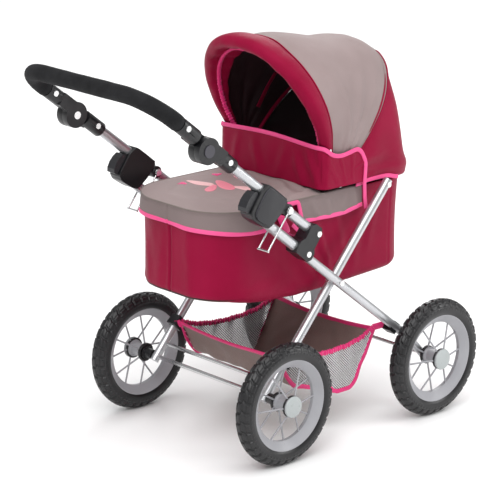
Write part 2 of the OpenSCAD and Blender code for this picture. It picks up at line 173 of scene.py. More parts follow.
def foam(name):
    m, t, b = nt(name)
    tc = t.nodes.new("ShaderNodeTexCoord").outputs["Object"]
    v = node(t, "ShaderNodeTexVoronoi"); v.inputs["Scale"].default_value = 750; t.links.new(tc, v.inputs["Vector"])
    big = noise(t, tc, 40, 4)
    c = ramp(t, big.outputs["Fac"], [(0.3, (0.010, 0.010, 0.011)), (0.75, (0.022, 0.022, 0.024))])
    t.links.new(c.outputs[0], b.inputs["Base Color"]); b.inputs["Roughness"].default_value = 0.88
    b.inputs["Specular IOR Level"].default_value = 0.14
    b.inputs["Sheen Weight"].default_value = 0.03
    b1 = bump(t, b, big.outputs["Fac"], 0.0008, 0.5); bump(t, b, v.outputs["Distance"], 0.00035, 0.9, b1); return m

M = dict(
    burg=fabric("burgundy_satin", (0.225, 0.0026, 0.026), (0.315, 0.0052, 0.043), 0.50, 0.03, tint=(1.0, 0.2, 0.4), spec=0.22, depth=1.3, stint=(1.0, 0.30, 0.46)),
    lining=fabric("dark_lining", (0.012, 0.001, 0.003), (0.026, 0.002, 0.006), 0.62, 0.04),
    # darker copy of the taupe cloth for the upright valance: painted shade for faces turned away from the top light
    taupe_painted_shade=fabric("taupe_fabric_painted_shade", (0.190, 0.146, 0.143), (0.262, 0.205, 0.202), 0.6, 0.03, tint=(1, 0.9, 0.9), spec=0.15),
    taupe=fabric("taupe_fabric", (0.275, 0.212, 0.208), (0.360, 0.284, 0.280), 0.6, 0.05, tint=(1, 0.9, 0.9), spec=0.2, depth=1.4),
    brown=fabric("basket_fabric", (0.205, 0.140, 0.124), (0.275, 0.192, 0.174), 0.55, 0.05),
    pink=fabric("pink_trim", (0.86, 0.075, 0.26), (0.95, 0.135, 0.36), 0.5, 0.05, weave=0.0009, dist=0.00012, spec=0.2),
    hot=fabric("hot_pink_trim", (0.72, 0.010, 0.150), (0.86, 0.028, 0.23), 0.5, 0.2, weave=0.0009, dist=0.00012),
    net=fabric("white_net", (0.86, 0.85, 0.86), (0.94, 0.93, 0.94), 0.6, 0.05, weave=0.0004),
    netdark=fabric("dark_net", (0.012, 0.012, 0.014), (0.03, 0.03, 0.034), 0.6, 0.02, weave=0.0004),
    cotton=fabric("mattress_cotton", (0.42, 0.26, 0.29), (0.52, 0.34, 0.37), 0.8, 0.2, weave=0.0008, dist=0.0001),
    thread=fabric("taupe_thread", (0.15, 0.12, 0.11), (0.22, 0.18, 0.16), 0.7, 0.1),
    petal1=fabric("applique_rose", (0.78, 0.18, 0.26), (0.88, 0.30, 0.37), 0.5, 0.2),
    petal2=fabric("applique_pale", (0.85, 0.45, 0.47), (0.92, 0.58, 0.58), 0.5, 0.2),
    petal3=fabric("applique_hot", (0.74, 0.010, 0.17), (0.85, 0.03, 0.26), 0.45, 0.2),
    black=plastic("black_plastic", (0.0085, 0.0085, 0.010), 0.34),
    dark=plastic("charcoal_plastic", (0.0190, 0.0190, 0.0225), 0.38),
    button=plastic("button_plastic", (0.050, 0.047, 0.060), 0.34),
    rim=plastic("wheel_plastic", (0.340, 0.340, 0.362), 0.34, grain=700, var=0.12),
    cap=plastic("cap_plastic", (0.40, 0.43, 0.43), 0.34, grain=900, var=0.08),
    paint=metal("silver_paint", (0.60, 0.61, 0.63), 0.30, 0.82, coat=0.25),
    steel=metal("bright_steel", (0.70, 0.70, 0.71), 0.18, 1.0),
    rivet=metal("rivet_steel", (0.86, 0.86, 0.86), 0.22, 0.75),
    tyre=rubber("tyre_rubber"), foam=foam("foam_grip"),
    board=plastic("hardboard", (0.20, 0.14, 0.10), 0.7, grain=400),
)

# ------------------------------------------------------------------ geometry helpers (millimetres in, metres out)
def make(name, verts, faces, mats, fmat=None, cloth=None, smooth=True):
    me = bpy.data.meshes.new(name)
    me.from_pydata([tuple(v) for v in (np.asarray(verts, float) * 0.001)], [], [tuple(int(i) for i in f) for f in faces])
    for m in (mats if isinstance(mats, (list, tuple)) else [mats]): me.materials.append(M[m] if isinstance(m, str) else m)
    if fmat is not None: me.polygons.foreach_set("material_index", np.asarray(fmat, np.int32))
    if smooth: me.polygons.foreach_set("use_smooth", np.ones(len(faces), bool))
    if cloth is not None:
        a = me.attributes.new("cloth", "FLOAT_VECTOR", "POINT")
        c = np.zeros((len(verts), 3), np.float32); c[:, :2] = np.asarray(cloth).reshape(-1, 2) * 0.001
        a.data.foreach_set("vector", c.ravel())
    me.validate(); me.update()
    o = bpy.data.objects.new(name, me); SCN.collection.objects.link(o)
    return o
def put(o, body, slot=None, *rep):
    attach(o, body)
    if rep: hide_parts(*rep)
    return o
def sm(x, a, b):
    t = np.clip((np.asarray(x, float) - a) / (b - a), 0, 1); return t * t * (3 - 2 * t)
def dense(P, n=400, closed=False):
    P = np.asarray(P, float)
    if closed: Q = np.vstack([P[-1], P, P[0], P[1]]); segs = len(P)
    else: Q = np.vstack([2 * P[0] - P[1], P, 2 * P[-1] - P[-2]]); segs = len(P) - 1
    out = []; k = max(6, n // segs)
    for i in range(segs):
        p0, p1, p2, p3 = Q[i:i + 4]; t = np.linspace(0, 1, k, endpoint=False)[:, None]
        out.append(0.5 * (2 * p1 + (p2 - p0) * t + (2 * p0 - 5 * p1 + 4 * p2 - p3) * t ** 2 + (3 * p1 - p0 - 3 * p2 + p3) * t ** 3))
    out = np.vstack(out)
    return out if closed else np.vstack([out, P[-1]])
def along(P, n, closed=False):
    """n points evenly spaced along a polyline"""
    P = np.asarray(P, float)
    if closed: P = np.vstack([P, P[0]])
    s = np.r_[0, np.cumsum(np.linalg.norm(np.diff(P, axis=0), axis=1))]
    q = np.linspace(0, s[-1], n, endpoint=not closed)
    return np.stack([np.interp(q, s, P[:, k]) for k in range(P.shape[1])], 1)
def unit(v): v = np.asarray(v, float); return v / np.maximum(np.linalg.norm(v, axis=-1, keepdims=True), 1e-9)
def tang(P, closed=False):
    if closed: return unit(np.roll(P, -1, 0) - np.roll(P, 1, 0))
    return unit(np.gradient(P, axis=0))
def lens(P, axis):
    d = np.linalg.norm(np.diff(P, axis=axis), axis=-1)
    z = np.zeros_like(np.take(d, [0], axis=axis)); return np.concatenate([z, np.cumsum(d, axis=axis)], axis=axis)
def clothuv(P):
    return np.stack([lens(P, 0), lens(P, 1)], -1)
def quads(nu, nv, cu=False, cv=False, flip=False, base=0):
    f = []
    for i in range(nu if cu else nu - 1):
        for j in range(nv if cv else nv - 1):
            a = base + i * nv + j; b = base + ((i + 1) % nu) * nv + j
            c = base + ((i + 1) % nu) * nv + (j + 1) % nv; d = base + i * nv + (j + 1) % nv
            f.append((a, d, c, b) if flip else (a, b, c, d))
    return f
def normals(P, cu=False):
    if cu: du = np.roll(P, -1, 0) - np.roll(P, 1, 0)
    else: du = np.gradient(P, axis=0)
    dv = np.gradient(P, axis=1); return unit(np.cross(du, dv))
def shell(name, P, th, mout, min_, cu=False, out=1):
    """closed thin sheet: the given grid is its outer face, th millimetres thick; out=1 if du x dv points outwards"""
    nu, nv = P.shape[:2]; n = normals(P, cu) * out; Q = P - n * th
    V = np.vstack([P.reshape(-1, 3), Q.reshape(-1, 3)]); b = nu * nv
    F = quads(nu, nv, cu, flip=out < 0); k1 = len(F)
    F += quads(nu, nv, cu, flip=out > 0, base=b); k2 = len(F)
    idx = lambda i, j, s: s * b + (i % nu) * nv + j
    for i in range(nu if cu else nu - 1):
        for j, w in ((0, 1), (nv - 1, -1)):
            q = (idx(i, j, 0), idx(i, j, 1), idx(i + 1, j, 1), idx(i + 1, j, 0)); F.append(q if w * out > 0 else q[::-1])
    if not cu:
        for j in range(nv - 1):
            for i, w in ((0, -1), (nu - 1, 1)):
                q = (idx(i, j, 0), idx(i, j, 1), idx(i, j + 1, 1), idx(i, j + 1, 0)); F.append(q if w * out > 0 else q[::-1])
    fm = [0] * k1 + [1] * (k2 - k1) + [0] * (len(F) - k2)
    c = clothuv(P).reshape(-1, 2)
    return make(name, V, F, [mout, min_], fm, np.vstack([c, c]))
def sweep(name, C, A, B, mat, sect, closed=False, caps=True, extra=None):
    """sweeps a section [(a, b), ...] along C with axes A and B; sect may be per point (n, k, 2)"""
    n = len(C); sect = np.asarray(sect, float)
    if sect.ndim == 2: sect = np.repeat(sect[None], n, 0)
    P = C[:, None] + sect[..., :1] * A[:, None] + sect[..., 1:] * B[:, None]
    k = P.shape[1]; V = P.reshape(-1, 3); F = quads(n, k, closed, True); cl = clothuv(P).reshape(-1, 2)
    if caps and not closed:
        V = np.vstack([V, C[0], C[-1]]); cl = np.vstack([cl, cl[0], cl[-1]])
        F += [(n * k, (j + 1) % k, j) for j in range(k)][::-1]
        F += [(n * k + 1, (n - 1) * k + j, (n - 1) * k + (j + 1) % k) for j in range(k)]
    o = make(name, V, F, mat, None, cl)
    bm = bmesh.new(); bm.from_mesh(o.data); bmesh.ops.recalc_face_normals(bm, faces=bm.faces); bm.to_mesh(o.data); bm.free()
    return o
def ell(a, b, k=14, p=2.0):
    t = np.linspace(0, 2 * np.pi, k, endpoint=False)
    return np.stack([a * np.sign(np.cos(t)) * np.abs(np.cos(t)) ** (2 / p), b * np.sign(np.sin(t)) * np.abs(np.sin(t)) ** (2 / p)], 1)
def binding(name, C, W, mat, hw=3.2, ht=1.5, closed=False, pucker=0.0, seed=0):
    """a bias tape along C: W is the direction of its width"""
    T = tang(C, closed); W = unit(W - (W * T).sum(1, keepdims=True) * T); Nn = np.cross(T, W); s = ell(hw, ht, 14, 2.6)
    if pucker:
        r = np.random.RandomState(seed); n = len(C); L = np.r_[0, np.cumsum(np.linalg.norm(np.diff(C, axis=0), axis=1))]
        ph = L / 5.2 * 2 * np.pi; w = 1 + 0.22 * np.sin(ph + 1.2 * np.sin(L / 17)) ; S = np.repeat(s[None], n, 0) * w[:, None, None]
        C = C + Nn * (pucker * np.sin(ph * 0.5 + 0.8 * np.sin(L / 11)))[:, None] + W * (pucker * 0.6 * np.sin(ph * 0.37 + 1))[:, None]
        s = S
    return sweep(name, C, W, Nn, mat, s, closed)
def tube(name, C, r, mat, closed=False, k=14, radii=None):
    T = tang(C, closed); up = np.array([0, 0, 1.0]) if abs(T[0][2]) < 0.9 else np.array([1.0, 0, 0])
    A = np.zeros_like(C); a = unit(np.cross(T[0], up))
    for i in range(len(C)):
        a = unit(a - (a @ T[i]) * T[i]); A[i] = a
    B = np.cross(T, A); s = ell(1, 1, k)
    R = np.full(len(C), r, float) if radii is None else np.asarray(radii, float)
    return sweep(name, C, A, B, mat, np.repeat(s[None], len(C), 0) * R[:, None, None], closed)
def stitches(name, C, Nrm, mat, step=3.2, length=2.0, r=0.28):
    """a row of short thread dashes lying on a surface"""
    L = np.r_[0, np.cumsum(np.linalg.norm(np.diff(C, axis=0), axis=1))]; V = []; F = []
    T = tang(C)
    for s in np.arange(step, L[-1] - step, step):
        pa = [np.array([np.interp(q, L, C[:, k]) for k in range(3)]) for q in (s - length / 2, s, s + length / 2)]
        t = unit(pa[2] - pa[0]); n = unit(np.array([np.interp(s, L, Nrm[:, k]) for k in range(3)])); w = np.cross(t, n)
        base = len(V)
        for p, h in zip(pa, (0.0, r * 1.1, 0.0)):
            for a, b in ((-r, 0), (0, r), (r, 0), (0, -r)): V.append(p + w * a + n * (b + h))
        for i in range(2):
            for j in range(4): F.append((base + i * 4 + j, base + (i + 1) * 4 + j, base + (i + 1) * 4 + (j + 1) % 4, base + i * 4 + (j + 1) % 4))
        F += [(base, base + 1, base + 2, base + 3), (base + 11, base + 10, base + 9, base + 8)]
    return make(name, V, F, mat, None, np.zeros((len(V), 2)))
def lathe(name, prof, x, y, z, mat, n=96, flip=1):
    """turns [(radius, offset)] about the Y axis through x, y, z"""
    a = np.linspace(0, 2 * np.pi, n, endpoint=False); p = np.asarray(prof, float)
    P = np.stack([x + p[None, :, 0] * np.cos(a)[:, None], y + flip * p[None, :, 1] + 0 * a[:, None], z + p[None, :, 0] * np.sin(a)[:, None]], -1)
    o = make(name, P.reshape(-1, 3), quads(n, len(p), True, True), mat, None, clothuv(P))
    bm = bmesh.new(); bm.from_mesh(o.data); bmesh.ops.remove_doubles(bm, verts=bm.verts, dist=1e-6); bmesh.ops.recalc_face_normals(bm, faces=bm.faces); bm.to_mesh(o.data); bm.free()
    return o
SL = math.radians(37.6); CS, SN = math.cos(SL), math.sin(SL)
Pv = np.array([55, 254.5]); Bv = np.array([-70.0, 395.0]); Hv = np.array([80.0, 402.0])
def inc(o, p):
    """point in the sloping frame (x along, y, z across) to the part frame"""
    p = np.atleast_2d(np.asarray(p, float)); return np.stack([o[0] + p[:, 0] * CS + p[:, 2] * SN, p[:, 1], o[1] - p[:, 0] * SN + p[:, 2] * CS], 1)
def arcs(cx, cy, rx, ry, a0, a1, n):
    a = np.radians(np.linspace(a0, a1, n)); return np.stack([cx + rx * np.cos(a), cy + ry * np.sin(a)], 1)
def outline(x0, x1, hw, r0, r1, n=14):
    return np.vstack([arcs(x0 + r0, -hw + r0, r0, r0, 180, 270, n), arcs(x1 - r1, -hw + r1, r1, r1, 270, 360, n),
                      arcs(x1 - r1, hw - r1, r1, r1, 0, 90, n), arcs(x0 + r0, hw - r0, r0, r0, 90, 180, n)])
def ridge(x, y, x0, y0, ang, L, w, amp):
    """a soft fold: a ridge along a direction that fades at both ends"""
    a = math.radians(ang); u = (x - x0) * math.cos(a) + (y - y0) * math.sin(a); v = -(x - x0) * math.sin(a) + (y - y0) * math.cos(a)
    v = v + 0.10 * w * np.sin(u / max(w, 1) * 1.3)
    return amp * np.exp(-(u / L) ** 4) * (np.exp(-(v / w) ** 2) - 0.45 * np.exp(-((v - 1.7 * w) / w) ** 2))

# ------------------------------------------------------------------ wheels
XR, XF, RW, TY = -82.3, 250.3, 96.0, 167.8
WHEELS = {"front_left": (XF, 1), "front_right": (XF, -1), "rear_left": (XR, 1), "rear_right": (XR, -1)}
def tyre_mesh():
    na = 864; nb = 64; NL = 36
    th = np.linspace(0, 2 * np.pi, na, endpoint=False)[:, None]
    psi = np.linspace(-102, 102, nb)[None, :]; pr = np.radians(psi)
    rho = 80 + 16.0 * np.cos(pr); w = 15.0 * np.sin(pr)
    ph = th * NL / (2 * np.pi)
    def gap(c, half, soft=0.05):
        d = np.abs((ph + c) % 1 - 0.5); return 1 - sm(d, half - soft, half + soft)
    A = np.abs(psi)
    cen = (1 - sm(A, 13, 16)); mid = sm(A, 17, 20) * (1 - sm(A, 40, 43)); sho = sm(A, 44, 47) * (1 - sm(A, 66, 69))
    sk = 0.012 * psi
    g = np.zeros((na, nb))
    g = np.maximum(g, cen * gap(0.0 + 0 * sk, 0.11)); g = np.maximum(g, mid * gap(0.5 + sk, 0.12)); g = np.maximum(g, sho * gap(0.0 + sk * 0, 0.15))
    lon = np.exp(-((A - 15.5) / 1.6) ** 4) + np.exp(-((A - 43.5) / 1.8) ** 4) * 0.9
    g = np.maximum(g, np.clip(lon, 0, 1) * np.ones((na, 1)))
    d = -2.5 * g
    d = d - 0.9 * np.exp(-((A - 71.5) / 2.0) ** 4)
    ph2 = th * (NL * 2) / (2 * np.pi); dd = np.abs((ph2 + 0.25) % 1 - 0.5)
    d = d + 0.55 * (1 - sm(dd, 0.13, 0.19)) * (sm(A, 76, 78) * (1 - sm(A, 84, 86)))
    rr = rho + d * np.cos(pr); ww = w + d * np.sin(pr)
    rr = np.minimum(rr, 96.0)
    lo = np.full((na, 1), 68.2)
    rr = np.hstack([lo, np.full((na, 1), 71.8), rr, np.full((na, 1), 71.8), lo])
    ww = np.hstack([np.full((na, 1), -9.5), np.full((na, 1), -12.9), ww, np.full((na, 1), 12.9), np.full((na, 1), 9.5)])
    P = np.stack([rr * np.cos(th), ww, rr * np.sin(th)], -1)
    return P
TP = tyre_mesh()
base = None
for wn, (wx, s) in WHEELS.items():
    if base is None:
        base = make("tyre_tread_" + wn, TP.reshape(-1, 3), quads(TP.shape[0], TP.shape[1], True, True), "tyre", None, np.zeros((TP.shape[0] * TP.shape[1], 2)))
        bm = bmesh.new(); bm.from_mesh(base.data); bmesh.ops.recalc_face_normals(bm, faces=bm.faces); bm.to_mesh(base.data); bm.free(); o = base
    else:
        o = bpy.data.objects.new("tyre_tread_" + wn, base.data); SCN.collection.objects.link(o)
    o.location = (wx / 1000, s * TY / 1000, RW / 1000)
    body = "wheel_" + wn
    put(o, body, "tyre", "tyre_" + wn)
    put(lathe("hub_ring_inner_" + wn, [(10.6, -16.6), (14.2, -16.6), (15.0, -15.8), (15.0, -12.4), (14.2, -11.6), (10.6, -11.6)], wx, s * TY, RW, "black", 64, s), body, "black_plastic")
    put(lathe("hub_ring_outer_" + wn, [(12.0, 12.2), (15.8, 12.2), (16.8, 13.0), (16.8, 15.6), (15.8, 16.4), (12.0, 16.4)], wx, s * TY, RW, "black", 64, s), body, "black_plastic")

# ------------------------------------------------------------------ carrycot bag
def bag():
    nu = 420; base = along(outline(-168, 250, 106, 76, 50, 24), nu, True)
    # start the walk at the middle of the rear end, where the back seam is
    k = int(np.argmin(np.abs(base[:, 1]) + (base[:, 0] > 0) * 1e3)); base = np.roll(base, -k, 0)
    T = tang(base, True); n2 = np.stack([T[:, 1], -T[:, 0]], 1)
    if (n2 * (base - base.mean(0))).sum() < 0: n2 = -n2
    s = np.r_[0, np.cumsum(np.linalg.norm(np.diff(base, axis=0), axis=1))]; L = s[-1] + np.linalg.norm(base[0] - base[-1])
    x, y = base[:, 0], base[:, 1]
    zt, zb = 387.0, 244.0; rb = 13.0
    rows = []
    zs = np.linspace(zt, zb + rb, 44)
    seams = [0.0]
    def off(z):
        v = (z - zb) / (zt - zb)
        o = -2.2 * np.sin(np.pi * np.clip(v, 0, 1)) - 1.2 * (1 - v) + 0 * s
        near = y < 0
        c = np.where(near, x, x + 37)
        # folds fan down and forwards from the frame fixing, then soft slack along the foot
        for (a, b_, an, Lh, w, am) in [(35, 300, -58, 52, 7, 2.6), (58, 305, -66, 50, 6, 2.0), (12, 292, -50, 46, 8, 2.2), (-20, 275, -40, 40, 9, 1.6), (95, 310, -74, 48, 8, 1.6),
                                       (-70, 262, 12, 50, 9, 1.3), (40, 258, 4, 60, 7, 1.4), (130, 300, 80, 45, 10, 1.8), (165, 320, 76, 40, 8, 1.5), (-115, 320, 84, 50, 12, 1.3)]:
            o = o + ridge(c, z, a, b_, an, Lh, w, am) * sm(np.abs(y), 55, 100)
        ye = y * np.where(x < 0, 1.0, 1.0)
        for (a, b_, an, Lh, w, am) in [(-40, 310, 86, 52, 10, 1.5), (22, 300, 95, 50, 9, 1.2), (60, 290, 80, 40, 9, 1.3)]:
            o = o + ridge(ye, z, a, b_, an, Lh, w, am) * sm(np.abs(x - 40), 150, 195)
        dd = np.minimum(s, L - s); o = o - 3.0 * np.exp(-(dd / 1.4) ** 2) + 0.7 * np.exp(-((dd - 4.0) / 2.0) ** 2)
        for sx in (205.0,):
            for sg in (-1, 1):
                o = o - 1.2 * np.exp(-((x - sx) / 1.6) ** 2) * (y * sg > 0)
        return o
    for z in zs:
        o = off(z); rows.append(np.stack([x + n2[:, 0] * o, y + n2[:, 1] * o, np.full(nu, z)], 1))
    sagz = 3.5
    o0 = off(zb + rb)
    for a in np.linspace(12, 90, 8):
        q = rb * (1 - math.cos(math.radians(a))); zz = zb + rb - rb * math.sin(math.radians(a))
        rows.append(np.stack([x + n2[:, 0] * (o0 - q), y + n2[:, 1] * (o0 - q), np.full(nu, zz)], 1))
    last = rows[-1]; cen = np.array([41.0, 0.0, 0.0])
    for f in (0.85, 0.65, 0.4, 0.18):
        p = last.copy(); p[:, 0] = cen[0] + (last[:, 0] - cen[0]) * f; p[:, 1] = last[:, 1] * f
        p[:, 2] = zb - sagz * (1 - f ** 2) - 0.7 * np.sin(p[:, 0] / 19) * (1 - f) - 0.5 * np.sin(p[:, 1] / 13 + p[:, 0] / 31); rows.append(p)
    inner = []
    for z in np.r_[387.0, np.linspace(384, 250.5, 20)]:
        o = off(z) - 2.4 if z < 386 else off(387.0) - 1.6
        zz = z if z < 386 else 387.6
        inner.append(np.stack([x + n2[:, 0] * o, y + n2[:, 1] * o, np.full(nu, zz)], 1))
    pi = inner[-1]; fl = []
    for f in (0.8, 0.45, 0.15):
        p = pi.copy(); p[:, 0] = cen[0] + (pi[:, 0] - cen[0]) * f; p[:, 1] = pi[:, 1] * f; p[:, 2] = 248.0; fl.append(p)
    for p in rows[10:]:
        k_ = np.clip((340.0 - p[:, 2]) / (340.0 - zb), 0, 1) ** 2 * sm(np.hypot((p[:, 0] - 41) / 215.0, p[:, 1] / 112.0), 0.25, 0.75)
        p[:, 2] += k_ * np.interp(p[:, 0], [-172, -125, -95, -60, 8, 73, 150, 215, 255], [3.5, 2.0, -3.0, -8.0, -11.5, -10.5, -8.0, -5.0, -3.0])
    allr = [*(fl[::-1]), *(inner[::-1]), *rows]
    P = np.stack(allr, 1)  # (nu, rows, 3)
    nr = P.shape[1]; V = P.reshape(-1, 3); F = quads(nu, nr, True, False)
    a0 = len(V); V = np.vstack([V, P[:, 0].mean(0), P[:, -1].mean(0)])
    F += [(a0, (i + 1) % nu * nr, i * nr) for i in range(nu)] + [(a0 + 1, i * nr + nr - 1, (i + 1) % nu * nr + nr - 1) for i in range(nu)]
    ni = len(fl) + len(inner) - 1
    fm = [1 if (j % (nr - 1)) < ni else 0 for i in range(nu) for j in range(nr - 1)] + [1] * nu + [0] * nu
    c = clothuv(P).reshape(-1, 2); c = np.vstack([c, c[:2]])
    ob = make("carrycot_shell", V, F, ["burg", "lining"], fm, c)
    bm = bmesh.new(); bm.from_mesh(ob.data); bmesh.ops.recalc_face_normals(bm, faces=bm.faces); bm.to_mesh(ob.data); bm.free()
    put(ob, "chassis", "burgundy_satin", "carrycot_bag")
    return ob
bag()

# ------------------------------------------------------------------ apron
AX0, AX1, AHW, AR = -171.0, 133.0, 110.0, 78.0
def apron_path(n, hw=AHW, x1=AX1, x0=AX0, r=AR):
    p = np.vstack([[[x1, -hw]], arcs(x0 + r, -hw + r, r, r, 270, 180, 24), arcs(x0 + r, hw - r, r, r, 180, 90, 24), [[x1, hw]]])
    return along(p, n)
def halfwidth(x, x0=AX0, hw=AHW, r=AR):
    d = np.clip(x - x0, 0, r); return hw - r + np.sqrt(np.maximum(r * r - (r - d) ** 2, 0))
def apron_z(x, y):
    hw = halfwidth(x); q = np.clip(np.abs(y) / np.maximum(hw, 1), 0, 1); e = np.clip((x - AX0) / 60, 0, 1)
    z = 390.6 + 7.2 * (1 - q ** 3.0) * (1 - (1 - e) ** 2.2) * (1 - 0.18 * sm(x, -20, 60))
    fade = (1 - q ** 6) * sm(e, 0.05, 0.5)
    w = 0
    for a in [(14, -62, 62, 46, 7, 3.2), (38, -58, 80, 44, 6, 2.6), (-8, -72, 44, 42, 8, 2.6), (-34, -84, 28, 40, 7, 1.8), (20, -92, 12, 40, 5, 1.8), (-70, -70, 14, 46, 8, 1.1),
              (-120, -46, -50, 34, 8, 1.0), (-20, 66, -38, 46, 9, 1.8), (26, 60, -66, 44, 8, 2.0), (-100, 50, 30, 36, 9, 1.0), (-148, 4, 86, 30, 7, 0.9), (30, 0, 88, 60, 7, 1.4), (-60, 20, 8, 40, 12, 0.7)]:
        w = w + ridge(x, y, *a)
    return z + w * fade
def apron():
    # crowned top
    xs = AX0 + 0.6 + (49.0 - AX0) * (np.linspace(0, 1, 120) ** 1.35); nv = 130; P = np.zeros((len(xs), nv, 3))
    for i, x in enumerate(xs):
        hw = halfwidth(np.array(x)) - 0.4; y = hw * np.sin(np.linspace(-np.pi / 2, np.pi / 2, nv)) * 0.35 + hw * np.linspace(-1, 1, nv) * 0.65
        P[i, :, 0] = x; P[i, :, 1] = y; P[i, :, 2] = apron_z(np.full(nv, x), y)
    top = shell("apron_cover", P, 1.2, "taupe", "lining", out=1)
    # valance with its own bulge, slack and the notch for the frame fixing
    n = 460; c = apron_path(n); T = tang(c); nn = np.stack([-T[:, 1], T[:, 0]], 1)
    if (nn * (c - np.array([[0, 0]]))).sum() < 0: nn = -nn
    s = np.r_[0, np.cumsum(np.linalg.norm(np.diff(c, axis=0), axis=1))]; L = s[-1]
    x, y = c[:, 0], c[:, 1]
    side_ = sm(np.abs(y), 70, 100)
    zb = 351.0 + 8.0 * sm(-x, 80, 170) + 5.0 * sm(x, 95, 133) - 1.5 * np.sin(s / 37.0)
    notch = sm(x, -68, -56) * (1 - sm(x, -8, 6)) * side_
    zb = zb + notch * (384 - zb)
    rows = []; nz = 26
    for k, v in enumerate(np.linspace(0, 1, nz)):
        z = 389.6 + (zb - 389.6) * v
        o = 0.9 * np.sin(np.pi * v) + 1.6 * v + (0.9 * np.sin(s / 23.0 + 0.6) + 0.7 * np.sin(s / 11.0 + 2.0)) * v * v
        for a in [(28, 372, -62, 16, 6, 2.0), (60, 368, -78, 18, 6, 1.8), (95, 370, -100, 18, 7, 1.8), (-100, 372, 10, 40, 6, 0.9), (118, 372, -84, 18, 4, 1.3)]:
            o = o + ridge(x, z, *a) * side_ * sm(v, 0.0, 0.3)
        dd = np.abs(s - L / 2); o = o - 2.3 * np.exp(-(dd / 1.2) ** 2) + 0.5 * np.exp(-((dd - 3.2) / 1.6) ** 2)
        rows.append(np.stack([x + nn[:, 0] * o, y + nn[:, 1] * o, z], 1))
    ins = [np.stack([x - nn[:, 0] * q, y - nn[:, 1] * q, np.full(n, zz)], 1) for q, zz in ((9.0, 390.2), (4.0, 390.6), (1.2, 390.6))]
    P = np.stack([*ins, *rows], 1)
    g = normals(P); out = 1 if (g[:, 8, :2] * nn).sum() > 0 else -1
    # the valance takes the darker taupe copy, painted shade for its upright faces
    val = shell("apron_valance", P, 1.1, "taupe_painted_shade", "lining", out=out)
    edge = rows[-1].copy(); up = np.zeros_like(edge); up[:, 2] = 1
    for end, sl in (("", slice(0, n)),):
        e = edge[sl]; e = e + np.c_[nn[sl] * -0.55, np.full(len(e), 3.0)]
        pip = binding("apron_edge_piping", e, up[sl], "pink", 3.6, 1.55)
    seamc = np.c_[c[:, 0] + nn[:, 0] * 0.1, c[:, 1] + nn[:, 1] * 0.1, np.full(n, 390.3)]; keep = x < 52
    idx = np.where(keep)[0]; seam = tube("apron_top_seam", seamc[idx[0]:idx[-1] + 1], 1.15, "thread", k=10)
    q = rows[2]; st = stitches("apron_seam_stitches", np.c_[q[:, :2] + nn * 0.15, q[:, 2] - 1.2][idx[0]:idx[-1] + 1], np.c_[nn, np.zeros(n)][idx[0]:idx[-1] + 1], "thread")
    put(top, "chassis", "taupe_fabric", "apron"); put(val, "chassis", "taupe_fabric"); put(pip, "chassis", "pink_trim"); put(seam, "chassis", "taupe_fabric"); put(st, "chassis", "taupe_fabric")
    # plain heart and petal applique on the cover
    def patch(name, pts, mat, lift):
        pts = np.asarray(pts, float); ctr = pts.mean(0); rings = []
        for f in (1.0, 0.93, 0.7, 0.4, 0.12):
            p = ctr + (pts - ctr) * f; z = apron_z(p[:, 0], p[:, 1]) + lift * (1 if f < 0.99 else 0.15); rings.append(np.c_[p, z])
        P = np.stack(rings, 1); nu, nr = P.shape[:2]; V = np.vstack([P.reshape(-1, 3), np.r_[ctr, apron_z(ctr[0], ctr[1]) + lift]])
        F = quads(nu, nr, True, False) + [(nu * nr, (i + 1) % nu * nr + nr - 1, i * nr + nr - 1) for i in range(nu)]
        Vb = V.copy(); Vb[:, 2] -= lift + 0.25; b = len(V); F2 = [tuple(reversed([q + b for q in f])) for f in F]
        R = [(i * nr, (i + 1) % nu * nr, b + (i + 1) % nu * nr, b + i * nr) for i in range(nu)]
        cl = np.vstack([V, Vb])[:, :2]
        ob = make(name, np.vstack([V, Vb]), F + F2 + R, mat, None, cl)
        bm = bmesh.new(); bm.from_mesh(ob.data); bmesh.ops.recalc_face_normals(bm, faces=bm.faces); bm.to_mesh(ob.data); bm.free()
        put(ob, "chassis", "pink_trim"); return ob
    def heart(cx, cy, size, rot):
        t = np.linspace(0, 2 * np.pi, 60, endpoint=False); hx = 16 * np.sin(t) ** 3; hy = 13 * np.cos(t) - 5 * np.cos(2 * t) - 2 * np.cos(3 * t) - np.cos(4 * t)
        a = math.radians(rot); px = hx * size / 16; py = hy * size / 16
        return np.stack([cx + px * math.cos(a) - py * math.sin(a), cy + px * math.sin(a) + py * math.cos(a)], 1)
    def petal(cx, cy, L, w, rot):
        t = np.linspace(0, 2 * np.pi, 60, endpoint=False); px = L * np.cos(t); py = w * np.sin(t) * (1 - 0.35 * np.cos(t))
        a = math.radians(rot); return np.stack([cx + px * math.cos(a) - py * math.sin(a), cy + px * math.sin(a) + py * math.cos(a)], 1)
    patch("applique_petal_1", petal(-70, 40, 27, 9.5, 98), "petal2", 0.5); patch("applique_petal_2", petal(-50, 6, 30, 11, 70), "petal1", 0.55)
    patch("applique_petal_3", petal(-38, -30, 25, 9, 112), "petal2", 0.5); patch("applique_petal_4", petal(-10, -22, 20, 8, 60), "petal3", 0.6)
    patch("applique_petal_5", petal(-78, 4, 20, 7.5, 30), "petal1", 0.45)
    patch("applique_heart_1", heart(2, 26, 12, -70), "petal1", 0.5); patch("applique_heart_2", heart(-16, 60, 8, -40), "petal3", 0.5); patch("applique_heart_3", heart(-92, 56, 8, -110), "petal3", 0.5)
apron()

